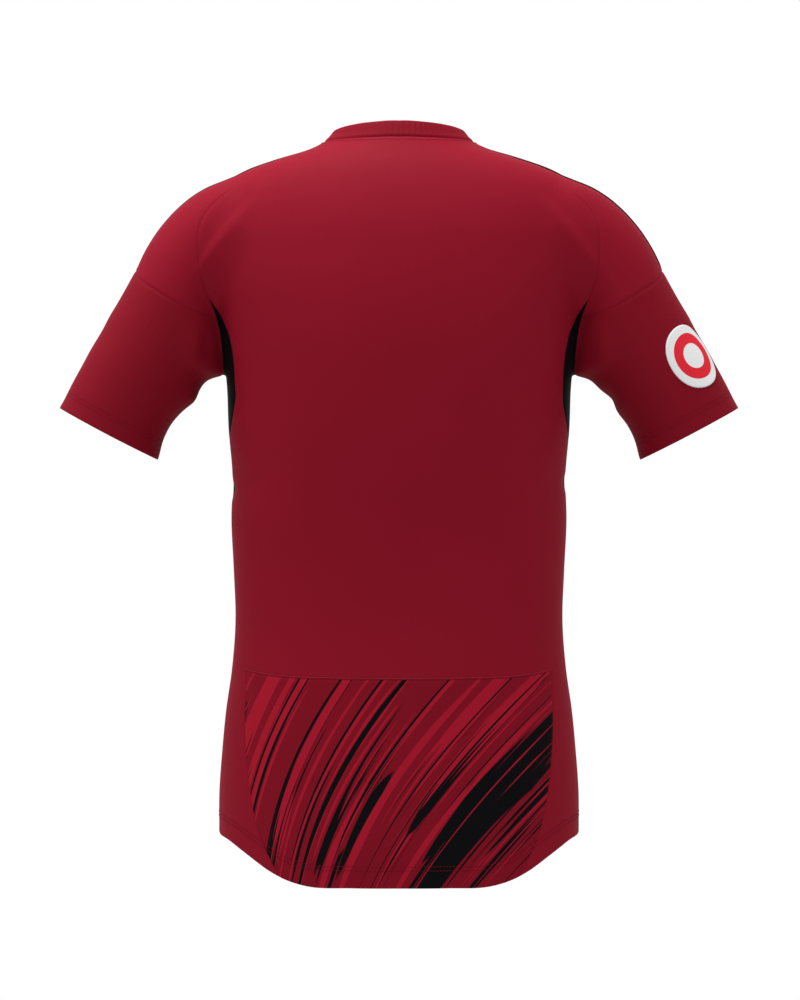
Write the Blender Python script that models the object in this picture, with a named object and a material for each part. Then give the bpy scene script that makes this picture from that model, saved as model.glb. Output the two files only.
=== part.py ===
"""Short-sleeved football jersey with a crew neck, filled out as it is when worn and empty inside.

The front faces -Y, the wearer's left is +X and +Z is up. The origin lies between the two
points where the shoulder seams meet the neck, at the height where the jersey hangs on the wearer.
Every size below is in millimetres. A mesh is made in metres at the very end.
"""

import math

import bpy
import numpy as np

MM = 0.001

# Cloth and seams.
CLOTH = 1.5  # wall of the knit
SEAM_GAP = 0.3  # clearance between two pieces that are sewn together
MITRE_LIMIT = 14.0  # how far a sharp corner may draw back, in half gaps
RIM_ORDER = np.array((0.31, 0.17, 1.0))  # the two sides of a seam are cut alike along this way

# Body: half width and depth of the outer face at each height, and how square its ring is.
BODY = (
    # height, half_width, back, front, power
    (-740.0, 180.0, 118.0, 118.0, 2.30),
    (-680.0, 179.5, 117.0, 117.5, 2.30),
    (-640.0, 179.3, 113.0, 116.5, 2.30),
    (-600.0, 176.5, 109.0, 115.5, 2.32),
    (-560.0, 172.7, 104.5, 115.0, 2.34),
    (-520.0, 167.0, 100.5, 115.0, 2.35),
    (-470.0, 163.3, 97.5, 116.0, 2.35),
    (-420.0, 165.0, 99.0, 120.0, 2.35),
    (-370.0, 167.3, 103.0, 127.5, 2.35),
    (-325.0, 166.3, 109.0, 135.0, 2.35),
    (-280.0, 170.0, 115.0, 142.0, 2.35),
    (-230.0, 172.3, 119.5, 144.0, 2.35),
    (-200.0, 176.5, 121.0, 142.0, 2.32),
    (-170.0, 182.0, 120.5, 136.0, 2.28),
    (-140.0, 190.0, 118.0, 127.0, 2.22),
    (-110.0, 196.0, 113.5, 115.0, 2.15),
    (-80.0, 197.0, 107.0, 102.0, 2.10),
    (-55.0, 191.0, 98.5, 91.0, 2.05),
    (-40.0, 182.0, 92.0, 84.0, 2.00),
    (-30.0, 168.0, 87.0, 79.0, 2.00),
    (-20.0, 148.5, 81.0, 73.0, 2.00),
    (-10.0, 119.5, 74.0, 66.0, 2.00),
    (0.0, 89.0, 66.5, 58.5, 2.00),
    (9.5, 72.3, 60.5, 52.5, 2.00),
    (18.3, 64.5, 56.8, 47.5, 2.00),
    (26.0, 57.0, 53.0, 43.0, 2.00),
    (36.0, 48.0, 48.0, 38.0, 2.00),
)

# Sleeve: a tube along a straight line from inside the shoulder. Distances are along the line,
# and up from it to the top edge, the underarm edge and the widest place.
SLEEVE_START = (151.6, -68.4)  # across, height
SLEEVE_SLOPE = math.radians(57.3)  # below level
SLEEVE_RINGS = (
    # along, top, under, widest, half_depth
    (-66.0, 2.0, -24.0, -12.0, 30.0),
    (-42.0, 22.0, -26.0, -4.0, 44.0),
    (-21.0, 37.3, -28.0, 2.0, 53.0),
    (-2.0, 50.6, -30.0, 7.0, 58.0),
    (15.0, 58.6, -31.0, 10.0, 60.5),
    (30.0, 63.2, -32.0, 12.0, 62.0),
    (57.0, 67.6, -33.0, 12.0, 63.0),
    (81.0, 67.8, -35.0, 11.0, 63.0),
    (103.0, 65.4, -42.0, 9.0, 62.5),
    (116.0, 64.5, -55.0, 7.0, 62.0),
    (130.0, 63.6, -62.5, 5.0, 61.5),
    (143.0, 63.0, -65.0, 4.0, 61.0),
    (157.0, 62.6, -54.5, 3.0, 60.5),
    (171.0, 61.3, -51.0, 3.0, 60.0),
    (195.0, 60.5, -49.5, 3.0, 59.0),
    (215.0, 59.0, -47.2, 3.0, 58.0),
    (232.0, 57.8, -49.0, 2.0, 57.5),
    (251.0, 55.8, -55.0, 0.0, 57.0),
    (270.0, 54.8, -58.0, 0.0, 57.0),
)
SLEEVE_POWER_TOP = 2.1
SLEEVE_POWER_UNDER = 1.75
CUFF_TOP = 260.7  # along the sleeve, at its top edge
CUFF_UNDER = 251.5
CUFF_RADIUS = 56.0  # about
CUFF_ROUNDS = 3

# How softly the body and a sleeve run into each other at each height.
BLEND = (
    # height, size
    (-240.0, 16.0),
    (-200.0, 32.0),
    (-160.0, 70.0),
    (-120.0, 130.0),
    (-60.0, 130.0),
)

BLEND_LIMIT = 0.25  # the share of that size where they meet at a right angle or sharper
BLEND_RUN = 80.0  # length along the sleeve over which that begins
WALL_SOFTNESS = 25.0  # the wall's direction turns from the body's to the sleeve's over this

# Seams. Each row is a place on the cloth: across, depth (back positive) and height, and the
# direction in which the place is moved to lie on the cloth.
ARMHOLE_BACK = (
    # across, depth, height, slide
    (141.5, -9.0, -20.0, "z"),
    (148.0, 18.0, -26.0, "z"),
    (162.5, 40.0, -41.7, "y"),
    (179.0, 52.0, -54.8, "y"),
    (191.0, 60.0, -69.8, "y"),
    (196.0, 64.0, -83.0, "y"),
    (197.0, 66.0, -100.5, "y"),
    (195.5, 64.0, -124.0, "y"),
    (186.5, 50.0, -152.0, "y"),
)
ARMHOLE_UNDER_BACK = (
    (186.5, 50.0, -152.0, "y"),
    (181.0, 36.0, -168.0, "y"),
    (177.5, 30.0, -182.0, "y"),
    (175.5, 24.0, -200.0, "y"),
    (175.0, 16.0, -215.0, "y"),
    (177.0, 0.0, -227.0, "z"),
)
ARMHOLE_FRONT = (
    (141.5, -9.0, -20.0, "z"),
    (147.0, -30.0, -27.0, "z"),
    (159.0, -50.0, -44.0, "y"),
    (173.0, -60.0, -60.0, "y"),
    (183.0, -66.0, -78.0, "y"),
    (187.0, -70.0, -100.0, "y"),
    (188.0, -68.0, -126.0, "y"),
    (186.5, -52.0, -152.0, "y"),
)
INSERT_BACK = (
    (186.5, 50.0, -152.0, "y"),
    (180.6, 52.0, -161.0, "y"),
    (174.0, 52.0, -173.0, "y"),
    (168.6, 52.0, -185.0, "y"),
    (164.2, 50.0, -205.0, "y"),
    (162.0, 50.0, -232.0, "y"),
    (162.5, 48.0, -255.0, "y"),
    (166.7, 28.0, -278.0, "y"),
    (170.0, 3.0, -296.0, "x"),
    (167.0, 0.0, -320.0, "x"),
    (166.0, 5.0, -338.0, "x"),
    (166.0, -3.0, -365.0, "x"),
    (165.0, -6.0, -430.0, "x"),
    (167.0, -6.0, -519.0, "x"),
)
INSERT_FRONT = (
    (186.5, -52.0, -152.0, "y"),
    (180.6, -54.0, -161.0, "y"),
    (174.0, -58.0, -173.0, "y"),
    (168.6, -60.0, -185.0, "y"),
    (164.2, -62.0, -205.0, "y"),
    (162.0, -64.0, -232.0, "y"),
    (163.0, -62.0, -262.0, "x"),
    (163.0, -56.0, -300.0, "x"),
    (163.0, -52.0, -360.0, "x"),
    (161.0, -50.0, -430.0, "x"),
    (161.0, -50.0, -519.0, "x"),
)
SIDE_HEM_BACK = (179.5, -6.0, -680.0, "x")
SIDE_HEM_FRONT = (170.0, -50.0, -678.0, "x")
HEM_BACK = (
    (179.5, -6.0, -680.0, "x"),
    (176.0, 25.0, -681.5, "x"),
    (167.0, 48.0, -684.6, "y"),
    (154.3, 70.0, -692.0, "y"),
    (141.6, 81.0, -700.0, "y"),
    (127.5, 91.0, -709.0, "y"),
    (108.0, 100.0, -718.0, "y"),
    (90.0, 106.0, -722.5, "y"),
    (45.0, 116.0, -723.5, "y"),
    (0.0, 118.0, -723.5, "y"),
)
HEM_FRONT = (
    (170.0, -50.0, -678.0, "x"),
    (140.0, -84.0, -682.0, "y"),
    (90.0, -106.0, -688.0, "y"),
    (0.0, -118.0, -692.0, "y"),
)
PRINT_TOP = (
    (150.0, 65.0, -518.0, "y"),
    (110.0, 85.0, -520.5, "y"),
    (60.0, 98.0, -523.0, "y"),
    (0.0, 101.0, -524.0, "y"),
)
PRINT_SIDE = (
    (117.0, 97.0, -714.0, "y"),
    (138.0, 84.0, -670.0, "y"),
    (146.0, 78.0, -632.0, "y"),
    (151.0, 70.0, -580.0, "y"),
    (150.0, 65.0, -518.0, "y"),
)
SIDE_TO_PRINT = (
    (167.0, -6.0, -519.0, "x"),
    (166.0, 25.0, -518.5, "x"),
    (150.0, 65.0, -518.0, "y"),
)
NECK_BACK = (
    (75.5, -6.0, 7.2, "z"),
    (70.5, 22.0, 7.4, "z"),
    (52.0, 46.0, 6.6, "y"),
    (28.0, 59.0, 6.3, "y"),
    (0.0, 62.0, 6.3, "y"),
)
NECK_FRONT = (
    (75.5, -6.0, 7.2, "z"),
    (76.5, -36.0, -3.0, "z"),
    (72.5, -58.0, -18.0, "z"),
    (61.0, -78.0, -43.0, "y"),
    (43.5, -92.0, -66.0, "y"),
    (22.0, -101.0, -80.0, "y"),
    (0.0, -104.0, -85.0, "y"),
)
SHOULDER = (
    (141.5, -9.0, -20.0, "z"),
    (105.0, -9.0, -8.0, "z"),
    (75.5, -6.0, 7.2, "z"),
)
CROSS_BACK = (
    (262.0, -4.0, -127.0, "z"),
    (254.0, 30.0, -134.0, "y"),
    (237.5, 50.0, -145.0, "y"),
    (221.0, 56.0, -155.0, "y"),
    (204.5, 54.0, -162.5, "y"),
    (192.0, 46.0, -166.5, "y"),
    (181.0, 36.0, -168.0, "y"),
)

# Panel grids.
CURVE_STEPS = 400  # along a seam, before it is cut up into its own steps
ROW_STEPS = 41  # along a row of the insert, before that
FINE_ROWS = 5  # lines between two rows, while a panel is laid over the body
RELAX_ROUNDS = 60
DRAPE_ROUNDS = 12
OUTSIDE = 160.0  # a depth that is clear of the body
SHOULDER_STEPS = 5
NECK_BACK_STEPS = 7  # from the shoulder to the middle
NECK_FRONT_STEPS = 7
STRIP_STEPS = 4  # across the plain strip beside the print
HEM_ROWS = 8  # from the hem to the print's top seam
SIDE_ROWS = 18  # from there to the insert's point
TOP_ROWS = 5  # of those, the ones beside the armhole's lower part
ARMHOLE_ROWS = 8  # from that point to the shoulder
TIP_STEPS = 2  # from the insert's point to the sleeve's cross seam
UNDERARM_STEPS = 3  # from there to the bottom of the armhole
CAP_ROWS = 4
ARMHOLE_CROWD = 0.35  # how much closer the armhole's steps are at the insert's point
CROSS_CROWD = 0.1  # and the cross seam's steps at its top
SLEEVE_ROWS = 7

# Collar band.
BAND_HEIGHT = 19.0
BAND_WALL = 2.2
BAND_ROWS = 3
RIBS = 100
RIB_HEIGHT = 0.5

# Patch on the right sleeve.
PATCH_PLACE = (-290.0, 42.0, -208.0, "y")
PATCH_RADIUS = 33.0
PATCH_WALL = 1.0
PATCH_LIFT = 0.6  # clear of the sleeve's smooth face, so of its flat facets too
PATCH_SPOKES = 28
PATCH_RINGS = 3

# Soft folds: a ridge, or a trough where the height is negative, that fades out to its ends.
FOLDS = (
    # from, to, half_width, height
    ((-206.0, 60.0, -180.0), (-196.0, 40.0, -226.0), 9.0, 2.2),
    ((206.0, 60.0, -176.0), (197.0, 40.0, -226.0), 10.0, 3.0),
    ((190.0, 55.0, -170.0), (186.0, 40.0, -222.0), 7.0, -2.0),
    ((-210.0, 50.0, -246.0), (-214.0, -60.0, -256.0), 10.0, -4.0),
    ((208.0, 60.0, -244.0), (206.0, -50.0, -252.0), 11.0, 4.5),
    ((172.0, 20.0, -318.0), (120.0, 80.0, -345.0), 16.0, -2.2),
    ((-172.0, 20.0, -322.0), (-118.0, 80.0, -350.0), 16.0, -2.0),
    ((206.0, -60.0, -176.0), (180.0, -52.0, -236.0), 12.0, -2.6),
    ((-204.0, -60.0, -180.0), (-178.0, -50.0, -240.0), 12.0, -2.4),
    ((150.0, -80.0, -330.0), (70.0, -116.0, -372.0), 22.0, 2.0),
    ((-146.0, -84.0, -300.0), (-60.0, -124.0, -346.0), 24.0, 2.2),
)

# Colours, roughness.
RED = (0.42, 0.012, 0.035, 1.0)
DARK_RED = (0.20, 0.007, 0.018, 1.0)
BLACK = (0.006, 0.007, 0.009, 1.0)
WHITE = (0.85, 0.85, 0.86, 1.0)
KNIT_ROUGHNESS = 0.62


def columns(table):
    """The table's columns, as arrays."""
    return [np.array(column) for column in zip(*table)]


def smooth(knots, values, at):
    """A smooth curve through the knots, level past both ends."""
    at = np.clip(at, knots[0], knots[-1])
    low = np.clip(np.searchsorted(knots, at) - 1, 0, len(knots) - 2)
    slope = np.gradient(values, knots)
    step = knots[low + 1] - knots[low]
    t = (at - knots[low]) / step
    start = (1 + 2 * t) * (1 - t) ** 2 * values[low] + t * (1 - t) ** 2 * step * slope[low]
    end = t * t * (3 - 2 * t) * values[low + 1] - t * t * (1 - t) * step * slope[low + 1]
    return start + end


BODY_HEIGHT, BODY_WIDTH, BODY_BACK, BODY_FRONT, BODY_POWER = columns(BODY)
RING_ALONG, RING_TOP, RING_UNDER, RING_WIDEST, RING_DEPTH = columns(SLEEVE_RINGS)
BLEND_HEIGHT, BLEND_SIZE = columns(BLEND)
SLEEVE_FROM = np.array((SLEEVE_START[0], 0.0, SLEEVE_START[1]))
SLEEVE_DOWN = np.array((math.cos(SLEEVE_SLOPE), 0.0, -math.sin(SLEEVE_SLOPE)))
SLEEVE_UP = np.array((math.sin(SLEEVE_SLOPE), 0.0, math.cos(SLEEVE_SLOPE)))


def ring_reach(a, b, power):
    """How far out of a rounded ring a place is, 1 on the ring, and how that grows with a and b."""
    a = np.maximum(np.abs(a), 1e-9)
    b = np.maximum(np.abs(b), 1e-9)
    reach = (a**power + b**power) ** (1 / power)
    return reach, (a / reach) ** (power - 1), (b / reach) ** (power - 1)


def body_field(places):
    """Distance out of the body's outer face, and its direction, on the +X side."""
    across, depth, height = places.T

    def reach(at):
        width = smooth(BODY_HEIGHT, BODY_WIDTH, at)
        deep = np.where(
            depth > 0, smooth(BODY_HEIGHT, BODY_BACK, at), smooth(BODY_HEIGHT, BODY_FRONT, at)
        )
        power = smooth(BODY_HEIGHT, BODY_POWER, at)
        out, by_width, by_depth = ring_reach(across / width, depth / deep, power)
        return out, by_width / width, by_depth / deep

    out, by_across, by_depth = reach(height)
    by_height = (reach(height + 1)[0] - reach(height - 1)[0]) / 2
    slope = np.stack((by_across, by_depth * np.sign(depth), by_height), axis=1)
    size = np.linalg.norm(slope, axis=1)
    return (out - 1) / size, slope / size[:, None]


def sleeve_field(places):
    """Distance out of the sleeve's outer face, and its direction, on the +X side."""
    along = (places - SLEEVE_FROM) @ SLEEVE_DOWN
    up = (places - SLEEVE_FROM) @ SLEEVE_UP
    depth = places[:, 1]

    def reach(at):
        widest = smooth(RING_ALONG, RING_WIDEST, at)
        over = up > widest
        room = np.where(
            over,
            smooth(RING_ALONG, RING_TOP, at) - widest,
            widest - smooth(RING_ALONG, RING_UNDER, at),
        )
        deep = smooth(RING_ALONG, RING_DEPTH, at)
        power = np.where(over, SLEEVE_POWER_TOP, SLEEVE_POWER_UNDER)
        out, by_up, by_depth = ring_reach((up - widest) / room, depth / deep, power)
        return out, np.where(over, by_up, -by_up) / room, by_depth / deep

    out, by_up, by_depth = reach(along)
    by_along = (reach(along + 1)[0] - reach(along - 1)[0]) / 2
    slope = by_up[:, None] * SLEEVE_UP + by_along[:, None] * SLEEVE_DOWN
    slope[:, 1] = by_depth * np.sign(depth)
    size = np.linalg.norm(slope, axis=1)
    past_start = np.maximum(RING_ALONG[0] - along, 0)
    return (out - 1) / size + past_start, slope / size[:, None]


def field(places, softness=0.0):
    """Distance out of the whole jersey's smooth outer face, and its direction.

    With softness, the direction turns over at least that distance where a sleeve meets the body.
    """
    side = np.where(places[:, 0] < 0, -1.0, 1.0)
    right = places * np.stack((side, np.ones_like(side), np.ones_like(side)), axis=1)
    body, body_way = body_field(right)
    sleeve, sleeve_way = sleeve_field(right)
    apart = np.minimum((1 - (body_way * sleeve_way).sum(axis=1)) / 2, BLEND_LIMIT)
    along = (right - SLEEVE_FROM) @ SLEEVE_DOWN
    begun = np.clip((along - RING_ALONG[0]) / BLEND_RUN, 0, 1)
    size = smooth(BLEND_HEIGHT, BLEND_SIZE, places[:, 2]) * apart * begun + 1e-6
    share = np.clip(0.5 + (sleeve - body) / (2 * size), 0, 1)
    out = share * body + (1 - share) * sleeve - size * share * (1 - share)
    share = np.clip(0.5 + (sleeve - body) / (2 * np.maximum(size, softness)), 0, 1)
    way = share[:, None] * body_way + (1 - share[:, None]) * sleeve_way
    way /= np.linalg.norm(way, axis=1)[:, None]
    way[:, 0] *= side
    return out, way


def onto(places, rounds=12):
    """The places, moved onto the smooth outer face by the shortest way."""
    places = np.array(places, float)
    for _ in range(rounds):
        out, way = field(places)
        places -= np.clip(out, -25, 25)[:, None] * way
    return places


def slide(rows):
    """The seam's rows, each moved onto the outer face in its own direction only."""
    places = np.array([row[:3] for row in rows])
    return slid(places, np.array(["xyz".index(row[3]) for row in rows]))


def slid(places, axis, rounds=40):
    """The places, each moved onto the outer face along its own axis."""
    places = places.copy()
    each = np.arange(len(places))
    for _ in range(rounds):
        out, way = field(places)
        lean = way[each, axis]
        lean = np.where(np.abs(lean) < 0.2, np.copysign(0.2, lean), lean)
        places[each, axis] -= np.clip(out / lean, -15, 15)
    return places


def lengths(places):
    """Length along a line of places, at each of them."""
    return np.concatenate(([0], np.cumsum(np.linalg.norm(np.diff(places, axis=0), axis=1))))


def at_shares(line, share):
    """The places at these shares of the line's length."""
    at = lengths(line)
    return np.stack([np.interp(share * at[-1], at, line[:, i]) for i in range(3)], axis=1)


def even(curve, steps):
    """The curve, cut into equal steps."""
    return at_shares(curve, np.linspace(0, 1, steps + 1))


def seam(rows, steps):
    """A smooth seam through the rows, cut into equal steps."""
    knots = slide(rows)
    at = lengths(knots)
    fine = np.linspace(0, at[-1], CURVE_STEPS + 1)
    curve = onto(np.stack([smooth(at, knots[:, i], fine) for i in range(3)], axis=1))
    return even(curve, steps)


def crowded(curve, crowd):
    """The curve, cut into the armhole's steps, which are closer at its start."""
    share = np.linspace(0, 1, ARMHOLE_ROWS + 1)
    return at_shares(curve, share * (1 - crowd * (1 - share)))


def join(*curves):
    """Curves that run on from each other, as one."""
    return np.concatenate([curves[0]] + [curve[1:] for curve in curves[1:]])


def other_side(curve):
    """The curve on the other half of the jersey."""
    return curve * np.array((-1.0, 1.0, 1.0))


def spanned(bottom, top, left, right, up):
    """A plain grid between four edges; up is each row's share of the way."""
    u = np.linspace(0, 1, len(bottom))[None, :, None]
    v = up[:, None, None]
    grid = (1 - v) * bottom[None] + v * top[None] + (1 - u) * left[:, None] + u * right[:, None]
    grid -= (1 - u) * (1 - v) * bottom[0] + u * (1 - v) * bottom[-1]
    grid -= (1 - u) * v * top[0] + u * v * top[-1]
    return grid


def filled(bottom, top, left, right):
    """A grid between four edges that meet at their corners, evened out over the outer face."""
    grid = spanned(bottom, top, left, right, np.linspace(0, 1, len(left)))
    return relaxed(grid, RELAX_ROUNDS)


def relaxed(grid, rounds):
    """The grid, with its inner places evened out over the outer face."""
    for _ in range(rounds):
        inner = (grid[:-2, 1:-1] + grid[2:, 1:-1] + grid[1:-1, :-2] + grid[1:-1, 2:]) / 4
        grid[1:-1, 1:-1] = onto(inner.reshape(-1, 3), 3).reshape(inner.shape)
    return grid


def draped(bottom, top, left, right, side):
    """A grid like filled(), for a panel that is seen from one side: back 1 or front -1."""
    rows = len(left) - 1
    share = lengths(left) / lengths(left)[-1]
    at = np.linspace(0, rows, rows * FINE_ROWS + 1)
    sides = [np.stack([np.interp(at, range(rows + 1), c) for c in s.T], axis=1) for s in (left, right)]
    grid = spanned(bottom, top, *sides, np.interp(at, range(rows + 1), share))
    inner = grid[1:-1, 1:-1].reshape(-1, 3)
    inner[:, 1] = OUTSIDE * side
    grid[1:-1, 1:-1] = slid(inner, np.ones(len(inner), int)).reshape(grid[1:-1, 1:-1].shape)
    made = np.stack([at_shares(column, share) for column in grid.transpose(1, 0, 2)], axis=1)
    made[:, 0], made[:, -1], made[0], made[-1] = left, right, bottom, top
    bottom_share = lengths(bottom) / lengths(bottom)[-1]
    top_share = lengths(top) / lengths(top)[-1]
    for row in range(1, rows):
        made[row] = at_shares(made[row], bottom_share + (top_share - bottom_share) * row / rows)
    inner = made[1:-1, 1:-1]
    made[1:-1, 1:-1] = onto(inner.reshape(-1, 3)).reshape(inner.shape)
    return relaxed(made, DRAPE_ROUNDS)


def fold_height(places):
    """How far the folds lift the cloth at each place."""
    lift = np.zeros(len(places))
    for start, end, half_width, height in FOLDS:
        start = np.array(start)
        run = np.array(end) - start
        t = np.clip((places - start) @ run / (run @ run), 0, 1)
        off = np.linalg.norm(places - start - t[:, None] * run, axis=1)
        ends = np.sin(np.pi * t) ** 2
        lift += height * ends * np.exp(-((off / half_width) ** 2))
    return lift


def grid_faces(rows, steps, closed=False):
    """Quads of a grid of places, row after row, going round the outer side."""
    wide = steps if closed else steps + 1
    faces = []
    for i in range(rows):
        for j in range(steps):
            k = (j + 1) % wide
            faces.append((i * wide + j, i * wide + k, (i + 1) * wide + k, (i + 1) * wide + j))
    return faces


def drawn_back(places, faces, ways):
    """The places, with every edge of the piece drawn back by half a seam's gap."""
    edges = {(f[i], f[(i + 1) % 4]) for f in faces for i in range(4)}
    after = {a: b for a, b in edges if (b, a) not in edges}
    before = {b: a for a, b in after.items()}
    moved = places.copy()
    for here, to in after.items():
        inward = []
        for a, b in ((before[here], here), (here, to)):
            side = np.cross(ways[here], places[b] - places[a])
            inward.append(side / np.linalg.norm(side))
        turn = max(1 + inward[0] @ inward[1], 1e-3)
        shift = (inward[0] + inward[1]) / turn
        shift *= min(1, MITRE_LIMIT / np.linalg.norm(shift))
        moved[here] += shift * SEAM_GAP / 2
    return moved


def facing_out(places, faces, ways):
    """The faces, turned so that they go round the outer side."""
    a, b, c, d = faces[len(faces) // 2]
    turned = np.cross(places[c] - places[a], places[d] - places[b]) @ ways[a] < 0
    return [face[::-1] for face in faces] if turned else faces


def used_only(places, faces):
    """The places that the faces use, and the faces over them."""
    used = sorted({i for face in faces for i in face})
    index = {old: new for new, old in enumerate(used)}
    return places[used], [tuple(index[i] for i in face) for face in faces]


def make_object(name, vertices, faces, material):
    mesh = bpy.data.meshes.new(name)
    mesh.from_pydata((vertices * MM).tolist(), [], faces)
    mesh.materials.append(material)
    mesh.shade_smooth()
    mesh.set_sharp_from_angle(angle=math.radians(50))
    made = bpy.data.objects.new(name, mesh)
    bpy.context.scene.collection.objects.link(made)
    return made


def halves(quads):
    """Each quad as two triangles."""
    return [t for a, b, c, d in quads for t in ((a, b, c), (a, c, d))]


def folds_back(a, b, c, d):
    """Whether the quad, cut from a to c, has a half that faces the wrong way."""
    square = np.cross(c - a, d - b)
    return min(np.cross(b - a, c - a) @ square, np.cross(c - a, d - a) @ square) < 0


def shorter_first(places, quad):
    """The quad, turned so that it is cut between its nearer corners, or else where it must be."""
    a, b, c, d = places[list(quad)]
    turn = np.linalg.norm(c - a) > np.linalg.norm(d - b) + 1e-6
    cut_here, cut_there = folds_back(a, b, c, d), folds_back(b, c, d, a)
    if cut_here != cut_there:
        turn = cut_here
    return quad[1:] + quad[:1] if turn else quad


def closed_wall(name, outer, inner, faces, material):
    """A closed wall between two like sheets of places."""
    count = len(outer)
    edges = {(f[i], f[(i + 1) % 4]) for f in faces for i in range(4)}
    order = outer @ RIM_ORDER
    rim = []
    for a, b in sorted(edges):
        if (b, a) not in edges:
            quad = (b, a, a + count, b + count)
            rim.append(quad if order[b] > order[a] else quad[1:] + quad[:1])
    triangles = halves([shorter_first(outer, quad) for quad in faces])
    triangles += [(c + count, b + count, a + count) for a, b, c in triangles]
    triangles += halves(rim)
    return make_object(name, np.concatenate((outer, inner)), triangles, material)


def cloth(name, places, faces, material):
    """One cut piece: its places drawn back at the seams, folded, and given the cloth's wall."""
    places, faces = used_only(places, faces)
    _, ways = field(places, WALL_SOFTNESS)
    faces = facing_out(places, faces, ways)
    places = drawn_back(places, faces, ways)
    outer = places + ways * fold_height(places)[:, None]
    return closed_wall(name, outer, outer - ways * CLOTH, faces, material)


def plain_material(name, colour):
    material = bpy.data.materials.new(name)
    material.use_nodes = True
    shader = material.node_tree.nodes["Principled BSDF"]
    shader.inputs["Base Color"].default_value = colour
    shader.inputs["Roughness"].default_value = KNIT_ROUGHNESS
    shader.inputs["Metallic"].default_value = 0.0
    return material


def side_seams():
    """The seams of the +X half, cut into steps."""
    return {
        "armhole_back": crowded(seam(ARMHOLE_BACK, CURVE_STEPS)[::-1], ARMHOLE_CROWD),
        "armhole_front": crowded(seam(ARMHOLE_FRONT, CURVE_STEPS)[::-1], ARMHOLE_CROWD),
        "insert_back": seam(INSERT_BACK, SIDE_ROWS)[::-1],
        "insert_front": seam(INSERT_FRONT, SIDE_ROWS)[::-1],
        "side_back": seam((SIDE_HEM_BACK, INSERT_BACK[-1]), HEM_ROWS),
        "side_front": seam((SIDE_HEM_FRONT, INSERT_FRONT[-1]), HEM_ROWS),
        "shoulder": seam(SHOULDER, SHOULDER_STEPS),
        "neck_back": seam(NECK_BACK, NECK_BACK_STEPS),
        "neck_front": seam(NECK_FRONT, NECK_FRONT_STEPS),
    }


def mirrored_row(half):
    """A whole row, from +X to -X, out of its +X half that ends in the middle."""
    return join(half, other_side(half)[::-1])


def make_back(seams, knit, printed):
    """The back, cut round the printed piece that is let into its lower edge."""
    half = SHOULDER_STEPS + NECK_BACK_STEPS
    print_half = half - STRIP_STEPS
    side = join(seams["side_back"], seams["insert_back"], seams["armhole_back"])
    top = mirrored_row(join(seams["shoulder"], seams["neck_back"]))
    print_top = seam(PRINT_TOP, print_half)
    strip_top = seam(SIDE_TO_PRINT, STRIP_STEPS)
    print_side = seam(PRINT_SIDE, HEM_ROWS)
    hem = seam(HEM_BACK, CURVE_STEPS)
    corner = np.argmin(np.linalg.norm(hem - print_side[0], axis=1))
    strip_hem = even(hem[: corner + 1], STRIP_STEPS)
    print_hem = even(hem[corner:], print_half)
    print_side[0] = hem[corner]

    seam_row = mirrored_row(join(strip_top, print_top))
    upper = draped(seam_row, top, side[HEM_ROWS:], other_side(side[HEM_ROWS:]), 1)
    strip = filled(strip_hem, strip_top, side[: HEM_ROWS + 1], print_side)
    middle = filled(
        mirrored_row(print_hem), mirrored_row(print_top), print_side, other_side(print_side)
    )
    lower = np.concatenate((strip[:, :-1], middle, other_side(strip)[:, ::-1][:, 1:]), axis=1)
    grid = np.concatenate((lower, upper[1:]))
    rows, steps = grid.shape[0] - 1, grid.shape[1] - 1
    faces = grid_faces(rows, steps)
    in_print = [
        n // steps < HEM_ROWS and STRIP_STEPS <= n % steps < steps - STRIP_STEPS
        for n in range(len(faces))
    ]
    places = grid.reshape(-1, 3)
    cloth("back_panel", places, [f for f, p in zip(faces, in_print) if not p], knit)
    cloth("back_hem_panel", places, [f for f, p in zip(faces, in_print) if p], printed)


def make_front(seams, knit):
    half = SHOULDER_STEPS + NECK_FRONT_STEPS
    side = join(seams["side_front"], seams["insert_front"], seams["armhole_front"])
    top = mirrored_row(join(seams["shoulder"], seams["neck_front"]))
    hem = mirrored_row(seam(HEM_FRONT, half))
    grid = draped(hem, top, side, other_side(side), -1)
    faces = grid_faces(grid.shape[0] - 1, grid.shape[1] - 1)
    cloth("front_panel", grid.reshape(-1, 3), faces, knit)


def make_insert(name, side, seams, under, material):
    """The dark piece under the arm and down the side."""
    back = join(seams["side_back"], seams["insert_back"])
    front = join(seams["side_front"], seams["insert_front"])
    steps = len(under) - 1
    rows = [even(onto(np.linspace(a, b, ROW_STEPS)), steps) for a, b in zip(back, front)]
    top = filled(rows[-1 - TOP_ROWS], under, back[-1 - TOP_ROWS :], front[-1 - TOP_ROWS :])
    grid = np.concatenate((rows[: -1 - TOP_ROWS], top))
    add_side(name, side, grid, material)


def add_side(name, side, grid, material, closed=False):
    """A piece of the +X half, or its twin on the other half."""
    if side < 0:
        grid = other_side(grid)
    steps = grid.shape[1] - (0 if closed else 1)
    faces = grid_faces(grid.shape[0] - 1, steps, closed)
    cloth(name, grid.reshape(-1, 3), faces, material)


def underarm():
    """The lower part of the armhole, from the back point of the insert to its front point."""
    tip_to_cross = seam(ARMHOLE_UNDER_BACK[:2], TIP_STEPS)
    cross_to_bottom = seam(ARMHOLE_UNDER_BACK[1:], UNDERARM_STEPS)
    back = join(tip_to_cross, cross_to_bottom)
    rows_front = [(x, -y, z, way) for x, y, z, way in ARMHOLE_UNDER_BACK]
    front_tip = seam(rows_front[:2], TIP_STEPS)
    front_bottom = seam(rows_front[1:], UNDERARM_STEPS)
    front = join(front_tip, front_bottom)
    return join(back, front[::-1])


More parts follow.
